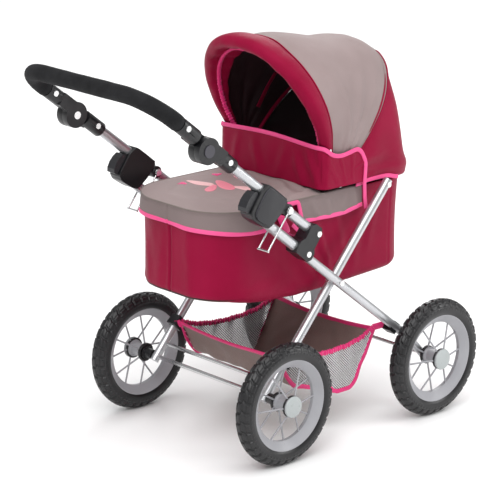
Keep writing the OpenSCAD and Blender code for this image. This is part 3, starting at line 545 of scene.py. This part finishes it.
# ------------------------------------------------------------------ hood
PROF = {  # (half width, radius) of each arch about the hood hinge, apex to foot
    43: [(0, 245), (20, 243), (52, 222), (80, 188), (98, 150), (107, 112), (111, 70), (112, 20)],
    58: [(0, 234), (30, 229), (60, 210), (85, 176), (102, 136), (111, 96), (114, 66), (113, 24)],
    75: [(0, 213), (30, 209), (60, 195), (86, 170), (108, 135), (117, 105), (118, 76), (114, 54), (112, 36)],
    106: [(0, 229), (30, 225), (58, 209), (82, 190), (103, 163), (117, 128), (119, 94), (114.5, 70), (109.5, 50)],
    117: [(0, 250), (32, 247), (60, 236), (84, 216), (104, 188), (118, 150), (121, 106), (115.5, 76), (109.5, 54)],
}
def prof(a, n, close=None):
    """n points foot to foot (near side first) of the arch at angle a"""
    p = dense(np.array(PROF[a], float), 300); full = np.vstack([(p * [-1, 1])[::-1], p[1:]]); return along(full, n)
def lift(p, ang):
    a = np.radians(ang); return np.stack([Hv[0] + p[..., 1] * np.cos(a), p[..., 0], Hv[1] + p[..., 1] * np.sin(a)], -1)
def hood():
    n = 220; A = np.array([43, 58, 75, 106.0]); PR = np.stack([prof(int(a), n) for a in A])
    angs = np.linspace(43, 106.6, 64); rows = []
    for a in angs:
        i = min(max(np.searchsorted(A, a) - 1, 0), 2); t = (a - A[i]) / (A[i + 1] - A[i]); t = min(t, 1.02)
        p1, p2 = PR[i], PR[i + 1]; p0 = PR[i - 1] if i > 0 else 2 * p1 - p2; p3 = PR[i + 2] if i < 2 else p2 + (p2 - p1) * 0.5
        h0 = A[i] - (A[i - 1] if i > 0 else A[i] - 15); h1 = A[i + 1] - A[i]; h2 = (A[i + 2] if i < 2 else A[i + 1] + 15) - A[i + 1]
        m1 = (p2 - p1) * 0.5 + (p1 - p0) * 0.5 * h1 / h0; m2 = (p2 - p1) * 0.5 + (p3 - p2) * 0.5 * h1 / h2
        q = (2 * t**3 - 3 * t**2 + 1) * p1 + (t**3 - 2 * t**2 + t) * m1 + (-2 * t**3 + 3 * t**2) * p2 + (t**3 - t**2) * m2
        rows.append(lift(q, a))
    P = np.stack(rows, 0)  # (angle, arch, 3)
    nrm = normals(P); ctr = np.array([60, 0, 420.0]);
    if (nrm * (P - ctr)).sum() < 0: nrm = -nrm; out = -1
    else: out = 1
    u = np.linspace(0, 1, n)[None, :]; a_ = angs[:, None]
    # slack: soft drapes from the crown down to the hinge on each side
    d = np.zeros(P.shape[:2])
    for (uc, ac, w, am, tilt) in [(0.13, 82, 3.4, 2.6, 16), (0.20, 68, 3.6, 2.4, -8), (0.09, 60, 3.2, 1.8, -20), (0.26, 92, 3.0, 1.8, 18), (0.30, 54, 3.6, 1.5, 4)]:
        for uu, sg in ((u, 1), (1 - u, 0.8)):
            c = ac + (uu - uc) * tilt * 2.2
            d += sg * am * np.exp(-((uu - uc) / 0.13) ** 2) * (np.exp(-((a_ - c) / w) ** 2) - 0.4 * np.exp(-((a_ - c - 1.8 * w) / w) ** 2))
    edge = sm(a_, 43, 48) * (1 - sm(a_, 101, 106)); P = P + nrm * (d * edge)[..., None]
    can = shell("hood_canopy_cloth", P, 1.3, "taupe", "lining", out=out)
    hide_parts("hood_canopy")
    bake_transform(can)
    # stitch row and seam cord beside the rear edge
    k1 = P[3]; k2 = P[-4]
    st1 = stitches("hood_rear_stitches", k1 + nrm[3] * 0.15, nrm[3], "thread"); put(st1, "chassis", "taupe_fabric")
    rib = P[0] + nrm[0] * 0.4
    put(tube("hood_rear_seam", rib, 1.6, "burg", k=10), "chassis", "burgundy_satin")
    # rear panel, from the arch down to the carrycot
    v = np.linspace(0, 1, 60); top = lift(prof(43, n), 43.0)
    bl = np.vstack([[[98, -111]], arcs(262 - 52, -110 + 52, 52, 52, 270, 360, 20), arcs(262 - 52, 110 - 52, 52, 52, 0, 90, 20), [[98, 111]]])
    b2 = along(bl, n); bot = np.c_[b2, np.full(n, 397.0) - 7 * sm(np.abs(b2[:, 0] - 262), 90, 0) ]
    ce = np.array([120.0, 0, 400]); outd = unit((top + bot) / 2 - ce)
    R = []
    for t in v:
        q = top * (1 - t) + bot * t + outd * (7.0 * math.sin(math.pi * t ** 0.85) + 3.0 * math.exp(-((t - 0.9) / 0.09) ** 2))
        R.append(q)
    R = np.stack(R, 0); g = normals(R); o2 = 1 if (g * (R - ce)).sum() > 0 else -1; g = g * o2
    uu = np.linspace(0, 1, n)[None, :]; vv = v[:, None]; d = np.zeros(R.shape[:2])
    for (uc, vc, ang, Lr, w, am) in [(0.16, 0.55, 70, 0.5, 0.05, 2.2), (0.27, 0.5, 96, 0.45, 0.05, 2.0), (0.08, 0.7, 60, 0.3, 0.04, 1.4), (0.40, 0.6, 84, 0.4, 0.05, 1.5), (0.55, 0.55, 100, 0.4, 0.05, 1.5), (0.72, 0.5, 84, 0.45, 0.05, 2.0), (0.84, 0.55, 104, 0.45, 0.05, 2.0)]:
        d += ridge(uu * 1.0 + 0 * vv, vv * 1.0 + 0 * uu, uc, vc, ang, Lr, w, am)
    R = R + g * (d * (sm(vv, 0, 0.1) * (1 - 0.6 * sm(vv, 0.9, 1.0))))[..., None]
    # the foot turns under to meet the carrycot edge
    foot = R[-1]
    for q, z in ((2.0, -3.0), (5.5, -4.4)):
        inw = unit(np.c_[foot[:, :2] - [150, 0], np.zeros(n)]); R = np.concatenate([R, (foot - inw * q + [0, 0, z])[None]], 0)
    back = shell("hood_back_cloth", R, 1.3, "burg", "lining", out=o2)
    put(back, "chassis", "burgundy_satin", "hood_back")
    e = foot.copy(); m = (e[:, 0] > 118) & (e[:, 0] < 215)
    for sgn, nm in ((-1, "right"), (1, "left")):
        ii = np.where(m & (e[:, 1] * sgn > 0))[0]; q = e[ii[0]:ii[-1] + 1]; q = q - [0, 0, 1.0]; q[:, 2] -= 3.0 * sm(np.abs(q[:, 0] - 168), 20, 44)
        W = np.zeros_like(q); W[:, 2] = 1; put(binding("hood_foot_piping_" + nm, q + [0, sgn * 0.9, 0], W, "pink", 3.4, 1.5), "chassis", "pink_trim")
    # padded rim roll
    na = 260; pb = prof(106, na); pf = prof(117, na)
    def nout(p):
        t = tang(p); q = np.stack([t[:, 1], -t[:, 0]], 1)
        return q if (q * (p - [0, 100])).sum() > 0 else -q
    nb_, nf_ = nout(pb), nout(pf)
    tt = np.linspace(0, 1, na); slim = 0.72 + 0.28 * sm(np.minimum(tt, 1 - tt), 0.0, 0.22)
    r_ = np.random.RandomState(4); puff = 1 + 0.05 * np.sin(tt * 61) + 0.04 * np.sin(tt * 97 + 1)
    secs = [(105.2, "b", -2.5), (106.2, "b", 0.8), (109.0, "m", 4.6), (112.4, "m", 5.4), (115.4, "m", 3.2), (117.4, "f", -2.5), (118.6, "f", -9.0), (117.9, "f", -16.5), (115.2, "m", -19.5), (111.5, "m", -20.0), (108.2, "m", -19.5), (106.0, "b", -16.0), (105.3, "b", -9.0)]
    ring = []
    for ang, wh, off in secs:
        f = np.clip((ang - 106) / 11.0, 0, 1); p = pb * (1 - f) + pf * f; nn = unit(nb_ * (1 - f) + nf_ * f)
        o = off * slim * puff; ring.append(lift(p + nn * o[:, None], ang))
    ring = np.stack(ring, 1)
    S = np.stack([dense(ring[i], 52, True) for i in range(na)], 0)
    ctr_ = S.mean(1)
    F = quads(na, S.shape[1], False, True); k = S.shape[1]; V = np.vstack([S.reshape(-1, 3), ctr_[0], ctr_[-1]])
    F += [(na * k, (j + 1) % k, j) for j in range(k)] + [(na * k + 1, (na - 1) * k + j, (na - 1) * k + (j + 1) % k) for j in range(k)]
    cl = clothuv(S).reshape(-1, 2); cl = np.vstack([cl, cl[:2]])
    rim = make("hood_rim_pad", V, F, "burg", None, cl)
    bm = bmesh.new(); bm.from_mesh(rim.data); bmesh.ops.recalc_face_normals(bm, faces=bm.faces); bm.to_mesh(rim.data); bm.free()
    put(rim, "hood", "burgundy_satin", "hood_rim")
    ip = lift((pb * 0.25 + pf * 0.75) + unit(nb_ * 0.25 + nf_ * 0.75) * (-21.6 * slim)[:, None], 114.2)
    ax = unit(np.gradient(ip, axis=0)); W = np.cross(ax, unit(ip - np.array([60, 0, 402.0])))
    put(binding("hood_rim_piping", along(ip, 420), np.stack([np.interp(np.linspace(0, 1, 420), np.linspace(0, 1, na), W[:, q]) for q in range(3)], 1), "hot", 3.5, 2.2, pucker=0.35), "hood", "pink_trim")
    jn = lift(pb + nb_ * 0.6, 105.6); put(tube("hood_front_seam", jn, 1.3, "burg", k=10), "hood", "burgundy_satin")
    # cloth sleeves sewn round the two steel bows
    def bow(w, r0, r1, R_, ang, n=120):
        a = np.linspace(0, np.pi / 2, 60); q = np.c_[w * np.cos(a), r1 + (R_ - r1) * np.sin(a)]; q = np.vstack([[[w, r0]], q])
        q = q[::-1]; full = np.vstack([(q * [-1, 1])[::-1][:-1], q]) if False else np.vstack([q * [-1, 1], [[0, 0]]])[:-1][::-1]
        full = np.vstack([full, q[1:]]); return lift(along(full, n), ang)
    fb = bow(116.6 - 1.5, 72, 84, 225 - 1.5, 112.0); put(tube("hood_bow_sleeve", fb, 3.9, "burg", k=14), "hood", "burgundy_satin")
    rb_ = bow(108.4 - 1.5, 30, 84, 236 - 1.5, 45.2); put(tube("hood_rear_bow_sleeve", rb_, 2.8, "burg", k=14), "chassis", "burgundy_satin")
    # inner strap under the canopy
    q = dense(np.array([[110, 101, 480], [114.5, 99, 490], [122, 92, 513], [129, 81, 537.0]]), 60); W = np.tile([1.0, 0, 0.3], (len(q), 1))
    put(binding("hood_stay_strap", q, W, "burg", 5.0, 0.9), "chassis", "burgundy_satin")
hood()

# ------------------------------------------------------------------ windscreen flap
def flap():
    hw, r, xf_, xb = 119.0, 17.0, 39.0, 133.0
    p = np.vstack([[[xb, -hw]], arcs(xf_ + r, -hw + r, r, r, 270, 180, 14), arcs(xf_ + r, hw - r, r, r, 180, 90, 14), [[xb, hw]]])
    n = 420; c = along(p, n); T = tang(c); nn = np.stack([-T[:, 1], T[:, 0]], 1)
    if (nn * (c - [80, 0])).sum() < 0: nn = -nn
    x, y = c[:, 0], c[:, 1]; s = np.r_[0, np.cumsum(np.linalg.norm(np.diff(c, axis=0), axis=1))]
    front = 1 - sm(x, 40, 56)
    zs_ = np.interp(x, [39, 46, 54, 67, 78, 89, 100, 110.5, 117, 122, 126, 129.5, 133], [464, 460.5, 455, 450.0, 449.0, 449.8, 452.2, 454.4, 453.2, 449.5, 444, 437, 424])
    zt = front * (464.5 + 4.5 * np.cos(y / 76.0) ** 2) + (1 - front) * zs_
    ker = np.hanning(23)[1:-1]; zt = np.convolve(np.pad(zt, 10, mode="edge"), ker / ker.sum(), "valid")
    zb = 397.5 + 0 * x; zb = np.where(np.abs(y) < 108, np.maximum(zb, apron_z(np.full(n, 44.0), np.clip(y, -104, 104)) + 0.4), zb)
    rows = []; nz = 40
    for v in np.linspace(0, 1, nz):
        z = zt + (zb - zt) * v
        o = -1.4 * np.sin(np.pi * v) + front * (2.2 * np.sin(np.pi * v) * np.cos(y / 80)) - 0.2
        for a in [(62, 425, -58, 26, 6, 2.4), (84, 422, -72, 24, 6, 2.0), (104, 425, -92, 24, 7, 2.0), (50, 420, 84, 28, 5, 1.2)]:
            o = o + ridge(x, z, *a) * sm(np.abs(y), 95, 112)
        for a in [(-96, 425, 64, 30, 7, 2.2), (-66, 420, 72, 28, 8, 2.2), (-28, 428, -66, 30, 9, 1.6), (30, 425, 76, 30, 9, 1.8), (78, 425, -72, 30, 8, 1.8)]:
            o = o + ridge(y, z, *a) * front
        o = np.clip(o, -4.5, 3.0); o = np.where(np.abs(y) > 112, np.clip(o, -0.5, 0.3), o)
        rows.append(np.stack([x + nn[:, 0] * o, y + nn[:, 1] * o, z], 1))
    P = np.stack(rows, 1); g = normals(P); out = 1 if (g[..., :2] * nn[:, None]).sum() > 0 else -1
    f = shell("windscreen_cloth", P, 1.2, "burg", "lining", out=out); put(f, "chassis", "burgundy_satin", "windscreen_flap")
    # the edge binding runs along the top and down both rear ends to the apron hem
    top = rows[0] + [0, 0, -2.2]; zd = np.linspace(353, 420, 24)
    d0 = np.stack([np.interp(zd, [353, 371, 400, 424], [138.0, 134.0, 130.5, 131.6]), np.interp(zd, [353, 392, 403, 424], [-116.0, -118.0, -119.4, -119.5]), zd], 1)
    d1 = d0[::-1] * [1, -1, 1]
    keep = (top[:, 2] > 428) | (top[:, 0] < 120); path = np.vstack([d0, top[keep], d1]); path = along(dense(along(path, 90), 600), 560)
    Tt = tang(path); N3 = np.c_[np.interp(np.linspace(0, 1, 560), [0, 0.5, 1], [0, 0, 0]), np.zeros((560, 2))]
    ctr = np.array([85.0, 0]); rad = path[:, :2] - ctr
    side = np.abs(path[:, 1]) > 104; N3[:, 1] = np.where(side, np.sign(path[:, 1]), 0); N3[:, 0] = np.where(side, 0, -1)
    for k in range(3): N3[:, k] = np.convolve(np.pad(N3[:, k], 12, mode="edge"), np.ones(25) / 25, "valid")
    W = np.cross(Tt, unit(N3)); b = binding("windscreen_binding", path + unit(N3) * 0.3, W, "pink", 3.5, 1.6); put(b, "chassis", "pink_trim")
flap()

# ------------------------------------------------------------------ mattress and straps on the bag
def mattress():
    n = 260; b = along(outline(-160, 242, 97, 66, 40, 20), n, True); cen = np.array([41.0, 0]); rows = []
    for f, z in [(0.0, 252.4), (0.5, 252.3), (0.93, 252.6), (0.985, 255.5), (1.0, 262.0), (0.992, 269.5), (0.96, 274.5), (0.9, 277.2), (0.75, 279.4), (0.5, 280.6), (0.25, 281), (0.0, 281.2)]:
        q = cen + (b - cen) * max(f, 0.004); zz = np.full(n, z)
        if z > 272: zz = zz - 1.6 * np.exp(-((q[:, 0] % 62 - 31) / 3.4) ** 2) * sm(f, 1.01, 0.85)
        rows.append(np.c_[q, zz])
    P = np.stack(rows, 1); o = make("mattress_pad", P.reshape(-1, 3), quads(n, len(rows), True, False) + [tuple(i * len(rows) for i in range(n))[::-1], tuple(i * len(rows) + len(rows) - 1 for i in range(n))], "cotton", None, P[..., :2].reshape(-1, 2))
    bm = bmesh.new(); bm.from_mesh(o.data); bmesh.ops.remove_doubles(bm, verts=bm.verts, dist=2e-5); bmesh.ops.recalc_face_normals(bm, faces=bm.faces); bm.to_mesh(o.data); bm.free()
    put(o, "chassis", "mattress_cotton", "mattress")
    for sg, nm in ((-1, "right"), (1, "left")):
        q = dense(np.array([[-46, 107.5, 384], [-42, 110.5, 372], [-36, 111.5, 358], [-29, 110.5, 347], [-25, 108.5, 340.0]]), 40) * [1, sg, 1]
        put(binding("fixing_tab_" + nm, q, np.tile([1.0, 0, 0.4], (len(q), 1)), "hot", 7.0, 0.9), "chassis", "pink_trim")
        q = dense(np.array([[-14, 108.5, 352], [-5, 110, 343], [6, 108.5, 334.0]]), 30) * [1, sg, 1]
        put(binding("fixing_tab_front_" + nm, q, np.tile([0.4, 0, 1.0], (len(q), 1)), "pink", 3.2, 0.9), "chassis", "pink_trim")
mattress()

# ------------------------------------------------------------------ basket
def basket():
    # rear panel, floor and front panel in one strip of cloth
    n = 150; yy = np.linspace(-112, 112, 90)
    prof_ = dense(np.array([[-43.5, 149], [-34, 131], [-24, 112], [-13.5, 96], [2, 87.5], [20, 84.0], [45, 81.5], [63, 79.5], [71, 72], [79, 64], [96, 61.5], [117, 62], [134, 88], [150, 118], [168, 150]], float), 400)
    pr_ = along(prof_, n); P = np.zeros((n, 90, 3)); t = np.linspace(0, 1, n)[:, None]; q = (yy / 112.0)[None, :]
    T = tang(pr_); nn = np.stack([T[:, 1], -T[:, 0]], 1)  # outwards: away from the middle of the basket
    if (nn * (pr_ - [60, 150])).sum() < 0: nn = -nn
    sag = (1 - q ** 2) * (2.2 * np.sin(np.pi * t) + 0.0)
    e = sm(t, 0.0, 0.10) * (1 - sm(t, 0.93, 1.0))
    d = sag + 1.3 * np.sin(q * 9 + t * 14) * (1 - q ** 4) * e * 0.8 + 0.8 * np.sin(q * 17 - t * 9) * e
    for (uc, vc, ang, L_, w, am) in [(0.12, -0.2, 80, 0.5, 0.04, 1.6), (0.86, 0.1, 95, 0.5, 0.05, 2.0), (0.8, -0.45, 60, 0.3, 0.05, 1.8), (0.92, 0.5, 110, 0.3, 0.04, 1.5)]:
        d = d + ridge(t + 0 * q, q + 0 * t, uc, vc, ang, L_, w, am)
    P[..., 0] = pr_[:, None, 0] + nn[:, None, 0] * d; P[..., 2] = pr_[:, None, 1] + nn[:, None, 1] * d; P[..., 1] = yy[None, :]
    drop0 = 6.0 * (1 - q ** 2) * (1 - sm(t, 0, 0.22)); drop1 = 7.0 * (1 - q ** 2) * sm(t, 0.8, 1.0)
    P[..., 2] -= drop0 + drop1
    P[..., 2] = np.maximum(P[..., 2], 59.3)
    g = normals(P); out = 1 if (g[:, :, 0] * nn[:, None, 0] + g[:, :, 2] * nn[:, None, 1]).sum() > 0 else -1
    o = shell("basket_panel", P, 1.2, "brown", "brown", out=out); put(o, "chassis", "basket_fabric", "basket")
    for nm, row, w3 in (("rear", P[0], (0.45, 0, -0.9)), ("front", P[-1], (-0.5, 0, -0.85))):
        r3 = row + np.array(w3) * 2.6
        put(binding("basket_%s_hem" % nm, r3, np.tile(np.array(w3, float), (len(r3), 1)), "hot", 3.6, 1.6), "chassis", "pink_trim")
    # net sides
    top = dense(np.array([[-43, 149], [-10, 138.5], [30, 132.5], [70, 131], [114, 133.5], [145, 141], [168, 150.5]], float), 200)
    bot = dense(np.array([[-43, 147], [-30, 121], [-12, 95.5], [18, 84.5], [45, 81.5], [62, 79.5], [71, 71], [81, 62.0], [117, 61], [142, 100], [168, 148]], float), 200)
    for sg, nm in ((-1, "right"), (1, "left")):
        for kind, mat, cell, th, dy, ph in (("net", "net", 4.4, 1.25, 0.0, 0.0), ("net_lining", "netdark", 4.4, 1.0, -1.3, 0.5)):
            nx = int(235 / cell * 1.414); L = 236.0; vs = []; fs = []; key = {}
            def pos(u, v):
                tx = -44 + u; zt = np.interp(tx, top[:, 0], top[:, 1]); zl = np.interp(tx, bot[:, 0], bot[:, 1]); z = zl + v
                f = np.clip((z - zl) / max(zt - zl, 1e-3), 0, 1)
                y = 112.0 + 1.6 * math.sin(math.pi * f) + 0.9 * math.sin(tx / 7.5) * f * f + dy
                return (tx, sg * y, z), z <= zt + 0.2 and z >= zl - 0.2
            a = cell / 2
            cols = int(214 / a) + 1; rws = int(100 / a) + 2
            for i in range(cols):
                for j in range(rws):
                    if (i + j) % 2: continue
                    zc = 58 + (j + ph) * a; xc = (i + ph) * a
                    cor = [(xc - a, zc), (xc, zc - a), (xc + a, zc), (xc, zc + a)]; ok = True; ids = []
                    for (u, zz) in cor:
                        tx = -44 + u
                        if tx < -43.5 or tx > 168: ok = False; break
                        zt = np.interp(tx, top[:, 0], top[:, 1]); zl = np.interp(tx, bot[:, 0], bot[:, 1])
                        if zz > zt + 1.5 or zz < zl - 1.5: ok = False; break
                        kk = (round(u * 4), round(zz * 4))
                        if kk not in key:
                            f = np.clip((zz - zl) / max(zt - zl, 1e-3), 0, 1)
                            y = 111.8 + 1.7 * math.sin(math.pi * f) + 1.0 * math.sin(tx / 5.2) * f * f + dy
                            key[kk] = len(vs); vs.append((tx, sg * y, zz))
                        ids.append(key[kk])
                    if ok: fs.append(tuple(ids))
            ob = make("basket_%s_%s" % (kind, nm), vs, fs, mat, None, np.asarray(vs)[:, [0, 2]])
            md = ob.modifiers.new("wire", "WIREFRAME"); md.thickness = th / 1000; md.use_replace = True; md.use_even_offset = False; md.use_boundary = True
            bpy.context.view_layer.update()
            dg = bpy.context.evaluated_depsgraph_get(); me = bpy.data.meshes.new_from_object(ob.evaluated_get(dg)); ob.modifiers.clear(); ob.data = me
            put(ob, "chassis", "mesh")
        tp = np.c_[top[:, 0], np.full(len(top), sg * 112.2), top[:, 1]]; tp[:, 1] += sg * 1.0 * np.sin(top[:, 0] / 5.2)
        put(binding("basket_top_hem_" + nm, along(tp, 380), np.tile([0, 0, 1.0], (380, 1)), "hot", 4.0, 1.5, pucker=0.55), "chassis", "pink_trim")
        bp = np.c_[bot[:, 0], np.full(len(bot), sg * 113.0), bot[:, 1]]; bp = along(bp, 320)
        Lw = np.r_[0, np.cumsum(np.linalg.norm(np.diff(bp, axis=0), axis=1))]; bp[:, 2] += 0.9 * np.sin(Lw / 6.0); bp[:, 0] += 0.7 * np.sin(Lw / 8.1)
        bp[:, 2] = np.maximum(bp[:, 2], 60.5)
        Tb = tang(bp); Wb = np.cross(Tb, np.tile([0, 1.0, 0], (320, 1)))
        put(binding("basket_bottom_binding_" + nm, bp, Wb, "hot", 3.6, 1.5), "chassis", "pink_trim")
        # straps to the front and rear legs
        q = dense(np.array([[166, 112, 150], [171, 117, 152], [176, 123, 155], [181, 128, 157.5]], float), 40) * [1, sg, 1]
        put(binding("basket_front_strap_" + nm, q, np.tile([0.5, 0, -0.85], (len(q), 1)), "hot", 6.5, 1.0), "chassis", "pink_trim")
        q = dense(np.array([[-43, 111, 147], [-45, 113.5, 145.8], [-47, 116, 144.8], [-48, 119.0, 144.2]], float), 40) * [1, sg, 1]
        st = binding("basket_rear_strap_" + nm, q, np.tile([0.45, 0, -0.9], (len(q), 1)), "hot", 7.0, 1.0)
        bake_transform(st)
basket()

# ------------------------------------------------------------------ latch housings and frame fittings
def prism(name, pts, y0, y1, mat, w=2.6, seg=4):
    """outline in the sloping frame, extruded across and rounded on every edge"""
    pts = np.asarray(pts, float); n = len(pts); V = np.vstack([inc(Bv, np.c_[pts[:, 0], np.full(n, y), pts[:, 1]]) for y in (y0, y1)])
    F = [tuple(range(n))[::-1], tuple(range(n, 2 * n))] + [(i, (i + 1) % n, n + (i + 1) % n, n + i) for i in range(n)]
    o = make(name, V, F, mat, None, np.zeros((2 * n, 2)))
    bm = bmesh.new(); bm.from_mesh(o.data); bmesh.ops.recalc_face_normals(bm, faces=bm.faces); bm.to_mesh(o.data); bm.free()
    b = o.modifiers.new("bevel", "BEVEL"); b.width = w / 1000; b.segments = seg; b.limit_method = "ANGLE"; b.angle_limit = math.radians(28)
    b.harden_normals = False
    return o
for sg, nm in ((-1, "right"), (1, "left")):
    body = [(-16, 9), (-15, -14), (-20, -36), (-27, -43.5), (-54, -46.5), (-63, -44.5), (-69, -38), (-70, -6), (-66, 7), (-60, 11.4), (-24, 11.4)]
    a = prism("latch_cover_" + nm, dense(np.array(body, float), 44, True), sg * 136.5, sg * 160.6, "black", 2.4); put(a, "pusher", "black_plastic")
    face = [(-19, 7.4), (-18.2, -15), (-23, -34.5), (-29.5, -40), (-50, -42.5), (-57.5, -40), (-61.5, -34), (-63.2, -6), (-60.5, 4.5), (-56, 7.8), (-27, 8.2)]
    f = prism("latch_face_" + nm, dense(np.array(face, float), 44, True), sg * 159.0, sg * 163.4, "dark", 1.9, 4); put(f, "pusher", "black_plastic")
    rib = inc(Bv, np.c_[dense(np.array(face, float)[5:], 60)[:, 0] * 1.0, np.full(len(dense(np.array(face, float)[5:], 60)), sg * 161.6), dense(np.array(face, float)[5:], 60)[:, 1]])
    put(tube("latch_rib_" + nm, rib, 0.8, "button", k=8), "pusher", "black_plastic")
def bevel(nname, mat, w=0.8, seg=3, ang=32):
    o = N[nname]; o.data.materials.clear(); o.data.materials.append(M[mat])
    wd = o.modifiers.new("weld", "WELD"); wd.merge_threshold = 1e-5
    if w:
        b = o.modifiers.new("bevel", "BEVEL"); b.width = w / 1000; b.segments = seg; b.limit_method = "ANGLE"; b.angle_limit = math.radians(ang)
def finish_node(nname, mat):
    o = N[nname]; o.data.materials.clear(); o.data.materials.append(M[mat])
for nn_ in ("bracket_left", "bracket_right", "hinge_knuckles", "front_clamps", "rear_clamps", "latch_housing_left", "latch_housing_right", "lower_connectors", "upper_connectors"):
    bevel(nn_, "black", 0.9)
for nn_ in ("latch_lever_left", "latch_lever_right"): bevel(nn_, "dark", 1.6)
for nn_ in ("adjust_button_left", "adjust_button_right"): bevel(nn_, "button", 1.4)
for nn_ in ("front_washers", "rear_spacers"): bevel(nn_, "black", 0.6)
for nn_ in ("front_leg_left", "front_leg_right", "rear_leg_left", "rear_leg_right"): finish_node(nn_, "paint")
for nn_ in ("latch_tubes", "hinge_tubes", "pusher_tubes", "grip_tube"): finish_node(nn_, "paint")
for nn_ in ("front_axle", "rear_axle", "cross_rod", "carrycot_frame", "hood_bow", "hood_rear_bow", "bail_left", "bail_right"): finish_node(nn_, "steel")
for nn_ in ("hinge_pins", "pivot_pins", "frame_rivets", "rear_rivets", "handle_rivets", "grip_rivets"): bevel(nn_, "rivet", 0.7, 3)
for wn in WHEELS:
    finish_node("rim_" + wn, "rim"); finish_node("hub_cap_" + wn, "cap")
finish_node("base_board", "board"); finish_node("foam_grip", "foam")

# foam sleeve with softly rounded ends
def foam_sleeve():
    yb = 148.6 - 58; gs = 333
    arm = lambda sg: [(-266.4, sg * 148.6), (-275 + 0.01, sg * 148.6)]
    a1 = np.vstack([[[-266.0, -148.6]], arcs(-gs + 58, -yb, 58, 58, 270, 180, 26), arcs(-gs + 58, yb, 58, 58, 180, 90, 26), [[-266.0, 148.6]]])
    c = along(a1, 300); C = inc(Bv, np.c_[c, np.zeros(len(c))])
    s = np.r_[0, np.cumsum(np.linalg.norm(np.diff(C, axis=0), axis=1))]; e = np.minimum(s, s[-1] - s)
    rad = 12.5 - 2.6 * np.exp(-(e / 1.6) ** 1.5) + 0.12 * np.sin(s / 19.0) + 0.08 * np.sin(s / 7.0)
    o = tube("foam_sleeve", C, 12.5, "foam", k=40, radii=rad); put(o, "grip", "foam", "foam_grip")
foam_sleeve()
